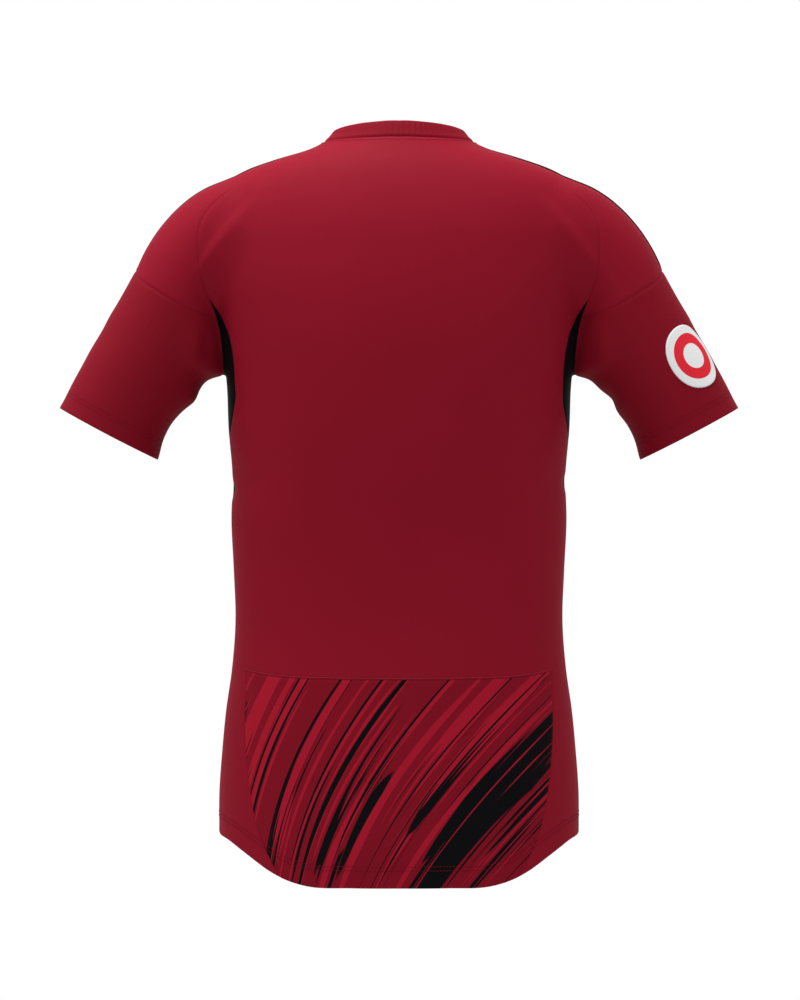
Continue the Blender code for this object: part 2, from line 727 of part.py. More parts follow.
def cuff(count):
    """The sleeve's open end, from the underarm round the back, in equal steps."""
    turn = np.linspace(0, 2 * math.pi, CURVE_STEPS + 1)
    along = CUFF_UNDER + (CUFF_TOP - CUFF_UNDER) * (1 - np.cos(turn)) / 2
    up = -np.cos(turn) * CUFF_RADIUS
    places = SLEEVE_FROM + along[:, None] * SLEEVE_DOWN + up[:, None] * SLEEVE_UP
    places[:, 1] = np.sin(turn) * CUFF_RADIUS
    for _ in range(CUFF_ROUNDS):
        places = onto(places)
        now = (places - SLEEVE_FROM) @ SLEEVE_DOWN
        places += (along - now)[:, None] * SLEEVE_DOWN
    return even(places, count)


def make_sleeve(name, side, seams, under, upper_material, lower_material):
    """The sleeve's head, down to the cross seam, and the rest of it, down to the cuff."""
    head = join(seams["armhole_front"], seams["armhole_back"][::-1])
    front_rows = [CROSS_BACK[0]] + [(x, -y, z, way) for x, y, z, way in CROSS_BACK[1:]]
    cross_back = crowded(seam(CROSS_BACK, CURVE_STEPS), CROSS_CROWD)
    cross_front = crowded(seam(front_rows, CURVE_STEPS), CROSS_CROWD)
    cross = join(cross_front[::-1], cross_back)
    back_side = even(under[: TIP_STEPS + 1], CAP_ROWS)
    front_side = even(under[::-1][: TIP_STEPS + 1], CAP_ROWS)
    cap = filled(cross, head, front_side[::-1], back_side[::-1])
    add_side("sleeve_upper_" + name, side, cap, upper_material)

    below = under[TIP_STEPS : len(under) - TIP_STEPS]
    middle = len(below) // 2
    ring = np.concatenate((below[middle::-1], cross[::-1][1:], below[-2:middle:-1]))
    fraction = lengths(np.concatenate((ring, ring[:1])))[:-1]
    fraction /= fraction[-1] + np.linalg.norm(ring[-1] - ring[0])
    even_share = np.arange(len(ring)) / len(ring)
    end = at_shares(cuff(CURVE_STEPS), (fraction + even_share) / 2)
    grid = np.linspace(ring, end, SLEEVE_ROWS + 1)
    inside = grid[1:-1].reshape(-1, 3)
    grid[1:-1] = onto(inside).reshape(grid[1:-1].shape)
    add_side("sleeve_lower_" + name, side, grid, lower_material, closed=True)


def make_collar(seams, material):
    """The band round the neck, with ribs raised on its outer side."""
    front = mirrored_row(seams["neck_front"])[::-1]
    loop = join(front, mirrored_row(seams["neck_back"]))
    foot = even(loop, 2 * RIBS)[:-1]
    _, ways = field(foot)
    tangent = np.roll(foot, -1, axis=0) - np.roll(foot, 1, axis=0)
    inward = np.cross(ways, tangent)
    inward /= np.linalg.norm(inward, axis=1)[:, None]
    rib = np.where(np.arange(2 * RIBS) % 2 == 0, RIB_HEIGHT, 0.0)
    outer_rows = []
    inner_rows = []
    for row in range(BAND_ROWS + 1):
        away = SEAM_GAP / 2 + (BAND_HEIGHT - SEAM_GAP / 2) * row / BAND_ROWS
        places = foot + inward * away
        if row:
            places = onto(places)
        _, ways = field(places)
        lift = fold_height(places) + (rib if 0 < row < BAND_ROWS else 0.0)
        outer_rows.append(places + ways * lift[:, None])
        inner_rows.append(places + ways * (fold_height(places) - BAND_WALL)[:, None])
    outer = np.concatenate(outer_rows)
    inner = np.concatenate(inner_rows)
    faces = grid_faces(BAND_ROWS, 2 * RIBS, closed=True)
    faces = facing_out(outer, faces, np.tile(ways, (BAND_ROWS + 1, 1)))
    closed_wall("collar_band", outer, inner, faces, material)


def make_patch(material):
    """A round patch that lies on the sleeve."""
    middle = slide((PATCH_PLACE,))
    _, ways = field(middle)
    sideways = np.cross(ways[0], SLEEVE_UP * np.array((-1, 1, 1)))
    sideways /= np.linalg.norm(sideways)
    upward = np.cross(ways[0], sideways)
    turn = np.linspace(0, 2 * math.pi, PATCH_SPOKES, endpoint=False)
    spoke = np.cos(turn)[:, None] * sideways + np.sin(turn)[:, None] * upward
    rings = [middle + spoke * PATCH_RADIUS * n / PATCH_RINGS for n in range(1, PATCH_RINGS + 1)]
    places = onto(np.concatenate([middle] + rings))
    _, ways = field(places)
    base = places + ways * (fold_height(places) + PATCH_LIFT)[:, None]
    top = base + ways * PATCH_WALL
    triangles = []
    for j in range(PATCH_SPOKES):
        k = (j + 1) % PATCH_SPOKES
        triangles.append((0, 1 + j, 1 + k))
        for n in range(PATCH_RINGS - 1):
            a = 1 + n * PATCH_SPOKES
            b = a + PATCH_SPOKES
            triangles += [(a + j, b + j, b + k), (a + j, b + k, a + k)]
    count = len(places)
    rim = 1 + (PATCH_RINGS - 1) * PATCH_SPOKES
    faces = triangles + [(c + count, b + count, a + count) for a, b, c in triangles]
    for j in range(PATCH_SPOKES):
        k = (j + 1) % PATCH_SPOKES
        faces += [
            (rim + k, rim + j, rim + j + count),
            (rim + k, rim + j + count, rim + k + count),
        ]
    make_object("sleeve_patch", np.concatenate((top, base)), faces, material)


def main():
    for old in list(bpy.data.objects):
        bpy.data.objects.remove(old, do_unlink=True)
    knit = plain_material("red_knit", RED)
    dark_knit = plain_material("dark_red_knit", DARK_RED)
    black_knit = plain_material("black_knit", BLACK)
    white_twill = plain_material("white_twill", WHITE)
    seams = side_seams()
    under = underarm()
    make_back(seams, knit, dark_knit)
    make_front(seams, knit)
    for name, side in (("left", 1), ("right", -1)):
        make_insert("side_insert_" + name, side, seams, under, black_knit)
        make_sleeve(name, side, seams, under, knit, dark_knit)
    make_collar(seams, knit)
    make_patch(white_twill)


main()
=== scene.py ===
"""The football jersey's looks: finer cloth on the form of its solids, with knit, ribs, stitching
and print. Every size is in millimetres, in the frame of the solids, until a mesh is made.
"""

import math

import bpy
import numpy as np
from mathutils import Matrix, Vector
from mathutils.kdtree import KDTree


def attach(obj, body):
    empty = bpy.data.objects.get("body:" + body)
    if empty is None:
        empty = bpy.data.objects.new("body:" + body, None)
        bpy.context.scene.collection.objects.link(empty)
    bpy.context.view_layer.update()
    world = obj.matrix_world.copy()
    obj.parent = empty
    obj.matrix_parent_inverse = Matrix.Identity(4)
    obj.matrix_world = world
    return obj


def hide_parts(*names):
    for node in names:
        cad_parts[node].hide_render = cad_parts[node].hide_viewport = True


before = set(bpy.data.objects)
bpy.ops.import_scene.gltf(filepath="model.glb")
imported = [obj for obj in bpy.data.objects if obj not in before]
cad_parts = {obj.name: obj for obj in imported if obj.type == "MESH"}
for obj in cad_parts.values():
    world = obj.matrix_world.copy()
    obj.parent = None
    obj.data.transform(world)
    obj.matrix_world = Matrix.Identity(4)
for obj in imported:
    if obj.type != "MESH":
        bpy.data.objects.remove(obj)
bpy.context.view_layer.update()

MM = 0.001

# Cloth and seams.
CLOTH = 1.2  # wall of the knit, with its seams pressed flat
SEAM_GAP = 0.06
SEAM_DIP = 0.7  # how far a seam draws the cloth in
SEAM_REACH = 1.3
SEAM_ALLOWANCE = 0.7  # how far the seam's turned edges stand in on the inside
ALLOWANCE_REACH = 4.0
EDGE_ROUND = 0.4  # how far a hem's or cuff's folded edge is rounded on each face
EDGE_REACH = 1.3
HEM_TURN = 22.0  # the hem and the cuffs are turned up this far
HEM_THICKER = 0.5
HEM_SOFT = 1.5  # over this the turned cloth begins and ends
FREE_REACH = 1.5  # an edge this near to the hem or a cuff is a part of it
MITRE_LIMIT = 0.1
CLOTH_SHARP = 50.0  # degrees
SIDES = (("left", 1), ("right", -1))

# Body: half width and depth of the outer face at each height, and how square its ring is.
BODY = (
    # height, half_width, back, front, power
    (-740.0, 180.0, 118.0, 118.0, 2.30),
    (-680.0, 179.5, 117.0, 117.5, 2.30),
    (-640.0, 179.3, 113.0, 116.5, 2.30),
    (-600.0, 176.5, 109.0, 115.5, 2.32),
    (-560.0, 172.7, 104.5, 115.0, 2.34),
    (-520.0, 167.0, 100.5, 115.0, 2.35),
    (-470.0, 163.3, 97.5, 116.0, 2.35),
    (-420.0, 165.0, 99.0, 120.0, 2.35),
    (-370.0, 167.3, 103.0, 127.5, 2.35),
    (-325.0, 166.3, 109.0, 135.0, 2.35),
    (-280.0, 170.0, 115.0, 142.0, 2.35),
    (-230.0, 172.3, 119.5, 144.0, 2.35),
    (-200.0, 176.5, 121.0, 142.0, 2.32),
    (-170.0, 182.0, 120.5, 136.0, 2.28),
    (-140.0, 190.0, 118.0, 127.0, 2.22),
    (-110.0, 196.0, 113.5, 115.0, 2.15),
    (-80.0, 197.0, 107.0, 102.0, 2.10),
    (-55.0, 191.0, 98.5, 91.0, 2.05),
    (-40.0, 182.0, 92.0, 84.0, 2.00),
    (-30.0, 168.0, 87.0, 79.0, 2.00),
    (-20.0, 148.5, 81.0, 73.0, 2.00),
    (-10.0, 119.5, 74.0, 66.0, 2.00),
    (0.0, 89.0, 66.5, 58.5, 2.00),
    (9.5, 72.3, 60.5, 52.5, 2.00),
    (18.3, 64.5, 56.8, 47.5, 2.00),
    (26.0, 57.0, 53.0, 43.0, 2.00),
    (36.0, 48.0, 48.0, 38.0, 2.00),
)

# Sleeve: a tube along a straight line from inside the shoulder. Distances are along the line,
# and up from it to the top edge, the underarm edge and the widest place.
SLEEVE_START = (151.6, -68.4)  # across, height
SLEEVE_SLOPE = math.radians(57.3)  # below level
SLEEVE_RINGS = (
    # along, top, under, widest, half_depth
    (-66.0, 2.0, -24.0, -12.0, 30.0),
    (-42.0, 22.0, -26.0, -4.0, 44.0),
    (-21.0, 37.3, -28.0, 2.0, 53.0),
    (-2.0, 50.6, -30.0, 7.0, 58.0),
    (15.0, 58.6, -31.0, 10.0, 60.5),
    (30.0, 63.2, -32.0, 12.0, 62.0),
    (57.0, 67.6, -33.0, 12.0, 63.0),
    (81.0, 67.8, -35.0, 11.0, 63.0),
    (103.0, 65.4, -42.0, 9.0, 62.5),
    (116.0, 64.5, -55.0, 7.0, 62.0),
    (130.0, 63.6, -62.5, 5.0, 61.5),
    (143.0, 63.0, -65.0, 4.0, 61.0),
    (157.0, 62.6, -54.5, 3.0, 60.5),
    (171.0, 61.3, -51.0, 3.0, 60.0),
    (195.0, 60.5, -49.5, 3.0, 59.0),
    (215.0, 59.0, -47.2, 3.0, 58.0),
    (232.0, 57.8, -49.0, 2.0, 57.5),
    (251.0, 55.8, -55.0, 0.0, 57.0),
    (270.0, 54.8, -58.0, 0.0, 57.0),
)
SLEEVE_POWER_TOP = 2.1
SLEEVE_POWER_UNDER = 1.75
CUFF_TOP = 260.7  # along the sleeve, at its top edge
CUFF_UNDER = 251.5
CUFF_RADIUS = 56.0  # about
CUFF_ROUNDS = 3

# How softly the body and a sleeve run into each other at each height.
BLEND = (
    # height, size
    (-240.0, 16.0),
    (-200.0, 32.0),
    (-160.0, 70.0),
    (-120.0, 130.0),
    (-60.0, 130.0),
)
BLEND_LIMIT = 0.25
BLEND_RUN = 80.0
WALL_SOFTNESS = 25.0

# How far a place may move in one round, on its way to the outer face.
ONTO_STEP = 25.0
SLIDE_STEP = 15.0
SLIDE_LEAN = 0.2

# Seams. Each row is a place on the cloth: across, depth (back positive) and height, and the
# direction in which the place is moved to lie on the cloth.
ARMHOLE_BACK = (
    # across, depth, height, slide
    (141.5, -9.0, -20.0, "z"),
    (148.0, 18.0, -26.0, "z"),
    (162.5, 40.0, -41.7, "y"),
    (179.0, 52.0, -54.8, "y"),
    (191.0, 60.0, -69.8, "y"),
    (196.0, 64.0, -83.0, "y"),
    (197.0, 66.0, -100.5, "y"),
    (195.5, 64.0, -124.0, "y"),
    (186.5, 50.0, -152.0, "y"),
)
ARMHOLE_UNDER_BACK = (
    (186.5, 50.0, -152.0, "y"),
    (181.0, 36.0, -168.0, "y"),
    (177.5, 30.0, -182.0, "y"),
    (175.5, 24.0, -200.0, "y"),
    (175.0, 16.0, -215.0, "y"),
    (177.0, 0.0, -227.0, "z"),
)
ARMHOLE_FRONT = (
    (141.5, -9.0, -20.0, "z"),
    (147.0, -30.0, -27.0, "z"),
    (159.0, -50.0, -44.0, "y"),
    (173.0, -60.0, -60.0, "y"),
    (183.0, -66.0, -78.0, "y"),
    (187.0, -70.0, -100.0, "y"),
    (188.0, -68.0, -126.0, "y"),
    (186.5, -52.0, -152.0, "y"),
)
INSERT_BACK = (
    (186.5, 50.0, -152.0, "y"),
    (180.6, 52.0, -161.0, "y"),
    (174.0, 52.0, -173.0, "y"),
    (168.6, 52.0, -185.0, "y"),
    (164.2, 50.0, -205.0, "y"),
    (162.0, 50.0, -232.0, "y"),
    (162.5, 48.0, -255.0, "y"),
    (166.7, 28.0, -278.0, "y"),
    (170.0, 3.0, -296.0, "x"),
    (167.0, 0.0, -320.0, "x"),
    (166.0, 5.0, -338.0, "x"),
    (166.0, -3.0, -365.0, "x"),
    (165.0, -6.0, -430.0, "x"),
    (167.0, -6.0, -519.0, "x"),
)
INSERT_FRONT = (
    (186.5, -52.0, -152.0, "y"),
    (180.6, -54.0, -161.0, "y"),
    (174.0, -58.0, -173.0, "y"),
    (168.6, -60.0, -185.0, "y"),
    (164.2, -62.0, -205.0, "y"),
    (162.0, -64.0, -232.0, "y"),
    (163.0, -62.0, -262.0, "x"),
    (163.0, -56.0, -300.0, "x"),
    (163.0, -52.0, -360.0, "x"),
    (161.0, -50.0, -430.0, "x"),
    (161.0, -50.0, -519.0, "x"),
)
SIDE_HEM_BACK = (179.5, -6.0, -680.0, "x")
SIDE_HEM_FRONT = (170.0, -50.0, -678.0, "x")
HEM_BACK = (
    (179.5, -6.0, -680.0, "x"),
    (176.0, 25.0, -681.5, "x"),
    (167.0, 48.0, -684.6, "y"),
    (154.3, 70.0, -692.0, "y"),
    (141.6, 81.0, -700.0, "y"),
    (127.5, 91.0, -709.0, "y"),
    (108.0, 100.0, -718.0, "y"),
    (90.0, 106.0, -722.5, "y"),
    (45.0, 116.0, -723.5, "y"),
    (0.0, 118.0, -723.5, "y"),
)
HEM_FRONT = (
    (170.0, -50.0, -678.0, "x"),
    (140.0, -84.0, -682.0, "y"),
    (90.0, -106.0, -688.0, "y"),
    (0.0, -118.0, -692.0, "y"),
)
PRINT_TOP = (
    (150.0, 65.0, -518.0, "y"),
    (130.0, 76.0, -521.2, "y"),
    (110.0, 85.0, -522.8, "y"),
    (60.0, 98.0, -523.7, "y"),
    (0.0, 101.0, -524.0, "y"),
)
PRINT_SIDE = (
    (117.0, 97.0, -714.0, "y"),
    (138.0, 84.0, -670.0, "y"),
    (146.0, 78.0, -632.0, "y"),
    (151.0, 70.0, -580.0, "y"),
    (150.0, 65.0, -518.0, "y"),
)
SIDE_TO_PRINT = (
    (167.0, -6.0, -519.0, "x"),
    (166.0, 25.0, -518.5, "x"),
    (150.0, 65.0, -518.0, "y"),
)
NECK_BACK = (
    (75.5, -6.0, 7.2, "z"),
    (70.5, 22.0, 7.4, "z"),
    (52.0, 46.0, 6.6, "y"),
    (28.0, 59.0, 6.3, "y"),
    (0.0, 62.0, 6.3, "y"),
)
NECK_FRONT = (
    (75.5, -6.0, 7.2, "z"),
    (76.5, -36.0, -3.0, "z"),
    (72.5, -58.0, -18.0, "z"),
    (61.0, -78.0, -43.0, "y"),
    (43.5, -92.0, -66.0, "y"),
    (22.0, -101.0, -80.0, "y"),
    (0.0, -104.0, -85.0, "y"),
)
SHOULDER = (
    (141.5, -9.0, -20.0, "z"),
    (105.0, -9.0, -8.0, "z"),
    (75.5, -6.0, 7.2, "z"),
)
CROSS_BACK = (
    (262.0, -4.0, -127.0, "z"),
    (254.0, 30.0, -134.0, "y"),
    (237.5, 50.0, -145.0, "y"),
    (221.0, 56.0, -155.0, "y"),
    (204.5, 54.0, -162.5, "y"),
    (192.0, 46.0, -166.5, "y"),
    (181.0, 36.0, -168.0, "y"),
)

# Panel grids: the steps of the solids, each cut finer.
FINER = 5
FINE_ROWS = 3
CURVE_STEPS = 800
RELAX_ROUNDS = 60
DRAPE_ROUNDS = 12
OUTSIDE = 160.0
SHOULDER_STEPS = 5
NECK_STEPS = 7
STRIP_STEPS = 4
HEM_ROWS = 8
SIDE_ROWS = 18
TOP_ROWS = 5
ARMHOLE_ROWS = 8
TIP_STEPS = 2
UNDERARM_STEPS = 3
CAP_ROWS = 4
ARMHOLE_CROWD = 0.35
CROSS_CROWD = 0.1
SLEEVE_ROWS = 7
EDGE_LINES = (0.14, 0.36, 0.7)  # extra lines beside each seam, in parts of a step
POINT_STEP = 0.5  # between the places that distances are measured to
FAR_OFF = 1e3
TINY = 1e-9
LEAST_BLEND = 1e-6

# How many places there are along each line.
INSERT_PLACES = 41
HEM_PLACES = 400
SIDE_HEM_PLACES = 60
CUFF_PLACES = 400
NECK_PLACES = 600
EDGE_PLACES = 1200

# Collar band.
BAND_HEIGHT = 18.4
BAND_WALL = 2.2
BAND_LINES = (0.1, 0.5, 1.1, 2.2, 4.0, 6.5, 9.0, 11.5, 13.5, 15.2, 16.5, 17.4, 18.0, 18.3, 18.4)
BAND_NARROWER = 0.12  # share by which the band is pressed lower over the shoulders
BAND_SIDE = 75.5  # half the neck's width there
RIBS = 100
RIB_SAMPLES = 10
RIB_HEIGHT = 0.28
RIB_FADE = 1.6  # the ribs fade out over this at the seam and the fold
BAND_DIP = 1.0  # how far the neck seam draws the band in
BAND_LIFT = 0.35  # how far the doubled band stands out past the cloth
BAND_SHARP = 70.0  # degrees
RIB_POWER = 1.4

# Patch on the right sleeve.
PATCH_PLACE = (-290.0, 42.0, -208.0, "y")
PATCH_RADIUS = 33.0
PATCH_WALL = 1.0
PATCH_LIFT = 0.3
PATCH_SPOKES = 120
PATCH_LINES = 26
PATCH_ROUND = 1.2
PATCH_RIM = 0.12  # least thickness
PATCH_RING_INNER = 13.0
PATCH_RING_OUTER = 24.0
PATCH_RING_SOFT = 0.15
PATCH_ROUGHNESS = 0.55
TWILL = 0.9
TWILL_DEPTH = 0.1
TWILL_BUMP = 0.25

# Soft folds: a ridge, or a trough where the height is negative, that fades out to its ends.
FOLDS = (
    # from, to, half_width, height
    ((-206.0, 60.0, -180.0), (-196.0, 40.0, -226.0), 9.0, 2.2),
    ((206.0, 60.0, -176.0), (197.0, 40.0, -226.0), 10.0, 3.0),
    ((190.0, 55.0, -170.0), (186.0, 40.0, -222.0), 7.0, -2.0),
    ((-210.0, 50.0, -246.0), (-214.0, -60.0, -256.0), 10.0, -4.0),
    ((208.0, 60.0, -244.0), (206.0, -50.0, -252.0), 11.0, 4.5),
    ((172.0, 20.0, -318.0), (120.0, 80.0, -345.0), 16.0, -2.2),
    ((-172.0, 20.0, -322.0), (-118.0, 80.0, -350.0), 16.0, -2.0),
    ((206.0, -60.0, -176.0), (180.0, -52.0, -236.0), 12.0, -2.6),
    ((-204.0, -60.0, -180.0), (-178.0, -50.0, -240.0), 12.0, -2.4),
    ((150.0, -80.0, -330.0), (70.0, -116.0, -372.0), 22.0, 2.0),
    ((-146.0, -84.0, -300.0), (-60.0, -124.0, -346.0), 24.0, 2.2),
    # Fine creases, which only the thin cloth has.
    ((168.0, -14.0, -338.0), (160.0, 42.0, -341.0), 7.0, -3.4),
    ((-168.0, -14.0, -332.0), (-160.0, 40.0, -333.0), 6.0, -3.2),
    ((171.0, 30.0, -240.0), (150.0, 78.0, -262.0), 6.0, -1.0),
    ((168.0, 40.0, -262.0), (138.0, 86.0, -292.0), 8.0, 0.9),
    ((-170.0, 34.0, -248.0), (-146.0, 80.0, -270.0), 6.0, -1.0),
    ((-166.0, 44.0, -272.0), (-128.0, 92.0, -306.0), 9.0, 0.8),
    ((214.0, 48.0, -206.0), (254.0, 40.0, -236.0), 7.0, 1.2),
    ((206.0, 50.0, -222.0), (236.0, 44.0, -262.0), 6.0, -1.0),
    ((-214.0, 48.0, -208.0), (-258.0, 40.0, -242.0), 7.0, 1.0),
    ((-204.0, 50.0, -224.0), (-232.0, 44.0, -262.0), 6.0, -0.9),
    ((212.0, -50.0, -196.0), (252.0, -42.0, -232.0), 8.0, 1.3),
    ((-214.0, -50.0, -200.0), (-248.0, -42.0, -228.0), 7.0, 1.1),
    ((170.0, -72.0, -236.0), (128.0, -118.0, -276.0), 9.0, -1.2),
    ((-168.0, -74.0, -228.0), (-120.0, -122.0, -262.0), 8.0, -1.1),
    ((164.0, -80.0, -470.0), (96.0, -112.0, -500.0), 14.0, 1.0),
    ((-162.0, -82.0, -430.0), (-84.0, -116.0, -466.0), 15.0, 1.1),
    ((-158.0, 66.0, -420.0), (-104.0, 88.0, -436.0), 13.0, 0.7),
    ((158.0, 64.0, -452.0), (110.0, 84.0, -470.0), 13.0, 0.7),
)

# Stitches, and how far their rows are from a hem, a cuff, the neck and the print.
STITCH_LENGTH = 2.7
STITCH_GAP = 0.45
STITCH_RADIUS = 0.24
STITCH_LIFT = 0.6  # in radii
STITCH_SUNK = 0.35  # how much lower its ends are, in radii
STITCH_SIDES = 6
STITCH_RINGS = (
    # along, from -1 to 1, and thickness there
    (-1.0, 0.12),
    (-0.75, 0.8),
    (0.0, 1.0),
    (0.75, 0.8),
    (1.0, 0.12),
)
HEM_LINES = (17.0, 21.0)
CUFF_LINES = (15.0, 19.0)
NECK_LINE = 3.6
PRINT_LINE = 1.6
THREAD_ROUGHNESS = 0.5
THREAD_SHARP = 80.0  # degrees

# Dark line along the top of each shoulder, a little further forward on the left: a thin black cord
# for a dark edge line that is partly a real dark stripe and partly painted shade.
DARK_LINE = (
    # across, left_depth, right_depth, height, slide
    (76.0, -6.0, -4.0, 7.0, "z"),
    (90.0, -3.0, 1.0, -1.0, "z"),
    (105.0, 1.0, 8.0, -6.5, "z"),
    (122.0, 4.0, 13.0, -11.5, "z"),
    (160.0, 2.0, 11.0, -26.0, "z"),
    (200.0, 0.5, 9.5, -44.0, "z"),
    (240.0, -2.0, 6.5, -81.0, "z"),
    (262.0, -4.0, 5.0, -121.0, "x"),
)
DARK_LINE_RADIUS = 0.8
DARK_LINE_LIFT = 1.1  # in radii, where it is at its full size
DARK_LINE_SUNK = 0.6
DARK_LINE_SIDES = 10
DARK_LINE_STEPS = 260
DARK_LINE_TAPER = 0.03  # share of its length over which it rises out of the cloth
DARK_LINE_TIP = 0.02
DARK_LINE_ROUGHNESS = 0.6

# Knit: columns and rows of stitches, a little uneven in colour, with painted shade that darkens
# the hollows between the loops.
WALE = 1.1
COURSE = 0.85
KNIT_DEPTH = 0.12
KNIT_LEAN = 2.4  # how far a stitch's middle runs ahead of its sides
KNIT_LOOP = 0.55  # share of the depth that the rows have
KNIT_BUMP = 0.35
KNIT_ROUGHNESS = 0.6
CLOUD_SCALE = 9.0
CLOUD_SHARE = 0.55
YARN_SCALE = 420.0
YARN_SHARE = 0.25
# painted shade: how much darker the knit's colour turns in the hollows where the loops sink
HOLLOW_SHADE_SHARE = 0.35
SHADE_MIDDLE = 0.55
SHADE_SOFT = 0.45
SHEEN = 0.2
SHEEN_ROUGHNESS = 0.4
SHEEN_LIGHTER = 2.2
SPECULAR = 0.05

# Colours, linear.
RED = (0.303, 0.0071, 0.0229)
# each _SHADE colour is the darker tone for the knit's uneven colour and for the painted shade in
# its hollows
RED_SHADE = (0.265, 0.0060, 0.0188)
SLEEVE_RED = (0.265, 0.0064, 0.0184)
SLEEVE_SHADE = (0.231, 0.0053, 0.0156)
PRINT_RED = (0.258, 0.0058, 0.0186)
PRINT_SHADE = (0.223, 0.0048, 0.0152)
PRINT_BRIGHT = (0.415, 0.0090, 0.0280)
PRINT_DARK = (0.0030, 0.0034, 0.0044)
BLACK = (0.0034, 0.0040, 0.0050)
BLACK_SHADE = (0.0024, 0.0029, 0.0036)
THREAD_RED = (0.340, 0.0090, 0.0260)
HEM_THREAD = (0.200, 0.0050, 0.0150)
CUFF_THREAD = (0.270, 0.0066, 0.0190)
THREAD_LIGHT = (0.500, 0.0460, 0.0720)
PATCH_WHITE = (0.97, 0.97, 0.98)
PATCH_RED = (0.88, 0.030, 0.050)
WHITE = (1.0, 1.0, 1.0, 1.0)
FLOOR_GREY = (0.86, 0.86, 0.86)

# Print: its blades leave one point below the hem.
PRINT_FAN = (40.0, -980.0)  # across, height
PRINT_SWEEP = 1.6
PRINT_FOOT = -724.0
PRINT_TALL = 204.0
PRINT_ALONG = 0.35  # how much the blades change upwards
PRINT_LEAN = 0.16  # how much they taper away from their widest place
PRINT_EDGE = 0.006
PRINT_LAYERS = (
    # scale, seed, limit, widest, colour
    (14.0, 3.1, 0.540, 0.2, PRINT_BRIGHT),
    (9.0, 12.4, 0.545, 0.45, PRINT_DARK),
    (30.0, 7.7, 0.560, 0.8, PRINT_BRIGHT),
    (26.0, 21.9, 0.570, 0.15, PRINT_DARK),
    (70.0, 33.3, 0.585, 0.6, PRINT_BRIGHT),
    (85.0, 41.6, 0.580, 0.5, PRINT_DARK),
)

# Camera, floor and light; places in metres, power in watts.
CAMERA_PLACE = (-0.001, 3.0, -0.350)
CAMERA_LENS = 108.0
CAMERA_SENSOR = 36.0
CAMERA_END = 50.0
FLOOR_RADIUS = 1200.0
FLOOR_HEIGHT = -1500.0
FLOOR_SIDES = 96
FLOOR_ROUGHNESS = 0.9
AMBIENT = 0.57
LIGHTS = (
    # name, place, aim, size, power
    ("top", (0.35, 0.5, 1.9), (0.0, 0.0, -0.2), 1.6, 16.0),
    ("overhead", (0.0, 0.3, 2.0), (0.0, 0.0, -0.2), 0.9, 16.0),
    ("overhead_left", (0.5, 0.0, 1.9), (0.0, 0.0, -0.2), 0.9, 12.5),
    ("side", (1.5, 0.2, 1.0), (0.0, 0.0, -0.1), 0.8, 6.0),
)


def columns(table):
    """The table's columns, as arrays."""
    return [np.array(column) for column in zip(*table)]


def smooth(knots, values, at):
    """A smooth curve through the knots, level past both ends."""
    at = np.clip(at, knots[0], knots[-1])
    low = np.clip(np.searchsorted(knots, at) - 1, 0, len(knots) - 2)
    slope = np.gradient(values, knots)
    step = knots[low + 1] - knots[low]
    t = (at - knots[low]) / step
    start = (1 + 2 * t) * (1 - t) ** 2 * values[low] + t * (1 - t) ** 2 * step * slope[low]
    end = t * t * (3 - 2 * t) * values[low + 1] - t * t * (1 - t) * step * slope[low + 1]
    return start + end


BODY_HEIGHT, BODY_WIDTH, BODY_BACK, BODY_FRONT, BODY_POWER = columns(BODY)
RING_ALONG, RING_TOP, RING_UNDER, RING_WIDEST, RING_DEPTH = columns(SLEEVE_RINGS)
BLEND_HEIGHT, BLEND_SIZE = columns(BLEND)
SLEEVE_FROM = np.array((SLEEVE_START[0], 0.0, SLEEVE_START[1]))
SLEEVE_DOWN = np.array((math.cos(SLEEVE_SLOPE), 0.0, -math.sin(SLEEVE_SLOPE)))
SLEEVE_UP = np.array((math.sin(SLEEVE_SLOPE), 0.0, math.cos(SLEEVE_SLOPE)))


def unit(ways):
    """The directions, each with a length of one."""
    return ways / np.linalg.norm(ways, axis=1)[:, None]


def ring_reach(a, b, power):
    """How far out of a rounded ring a place is, 1 on the ring, and how that grows with a and b."""
    a = np.maximum(np.abs(a), TINY)
    b = np.maximum(np.abs(b), TINY)
    reach = (a**power + b**power) ** (1 / power)
    return reach, (a / reach) ** (power - 1), (b / reach) ** (power - 1)


def body_field(places):
    """Distance out of the body's outer face, and its direction, on the +X side."""
    across, depth, height = places.T

    def reach(at):
        width = smooth(BODY_HEIGHT, BODY_WIDTH, at)
        deep = np.where(
            depth > 0, smooth(BODY_HEIGHT, BODY_BACK, at), smooth(BODY_HEIGHT, BODY_FRONT, at)
        )
        power = smooth(BODY_HEIGHT, BODY_POWER, at)
        out, by_width, by_depth = ring_reach(across / width, depth / deep, power)
        return out, by_width / width, by_depth / deep

    out, by_across, by_depth = reach(height)
    by_height = (reach(height + 1)[0] - reach(height - 1)[0]) / 2
    slope = np.stack((by_across, by_depth * np.sign(depth), by_height), axis=1)
    size = np.linalg.norm(slope, axis=1)
    return (out - 1) / size, slope / size[:, None]


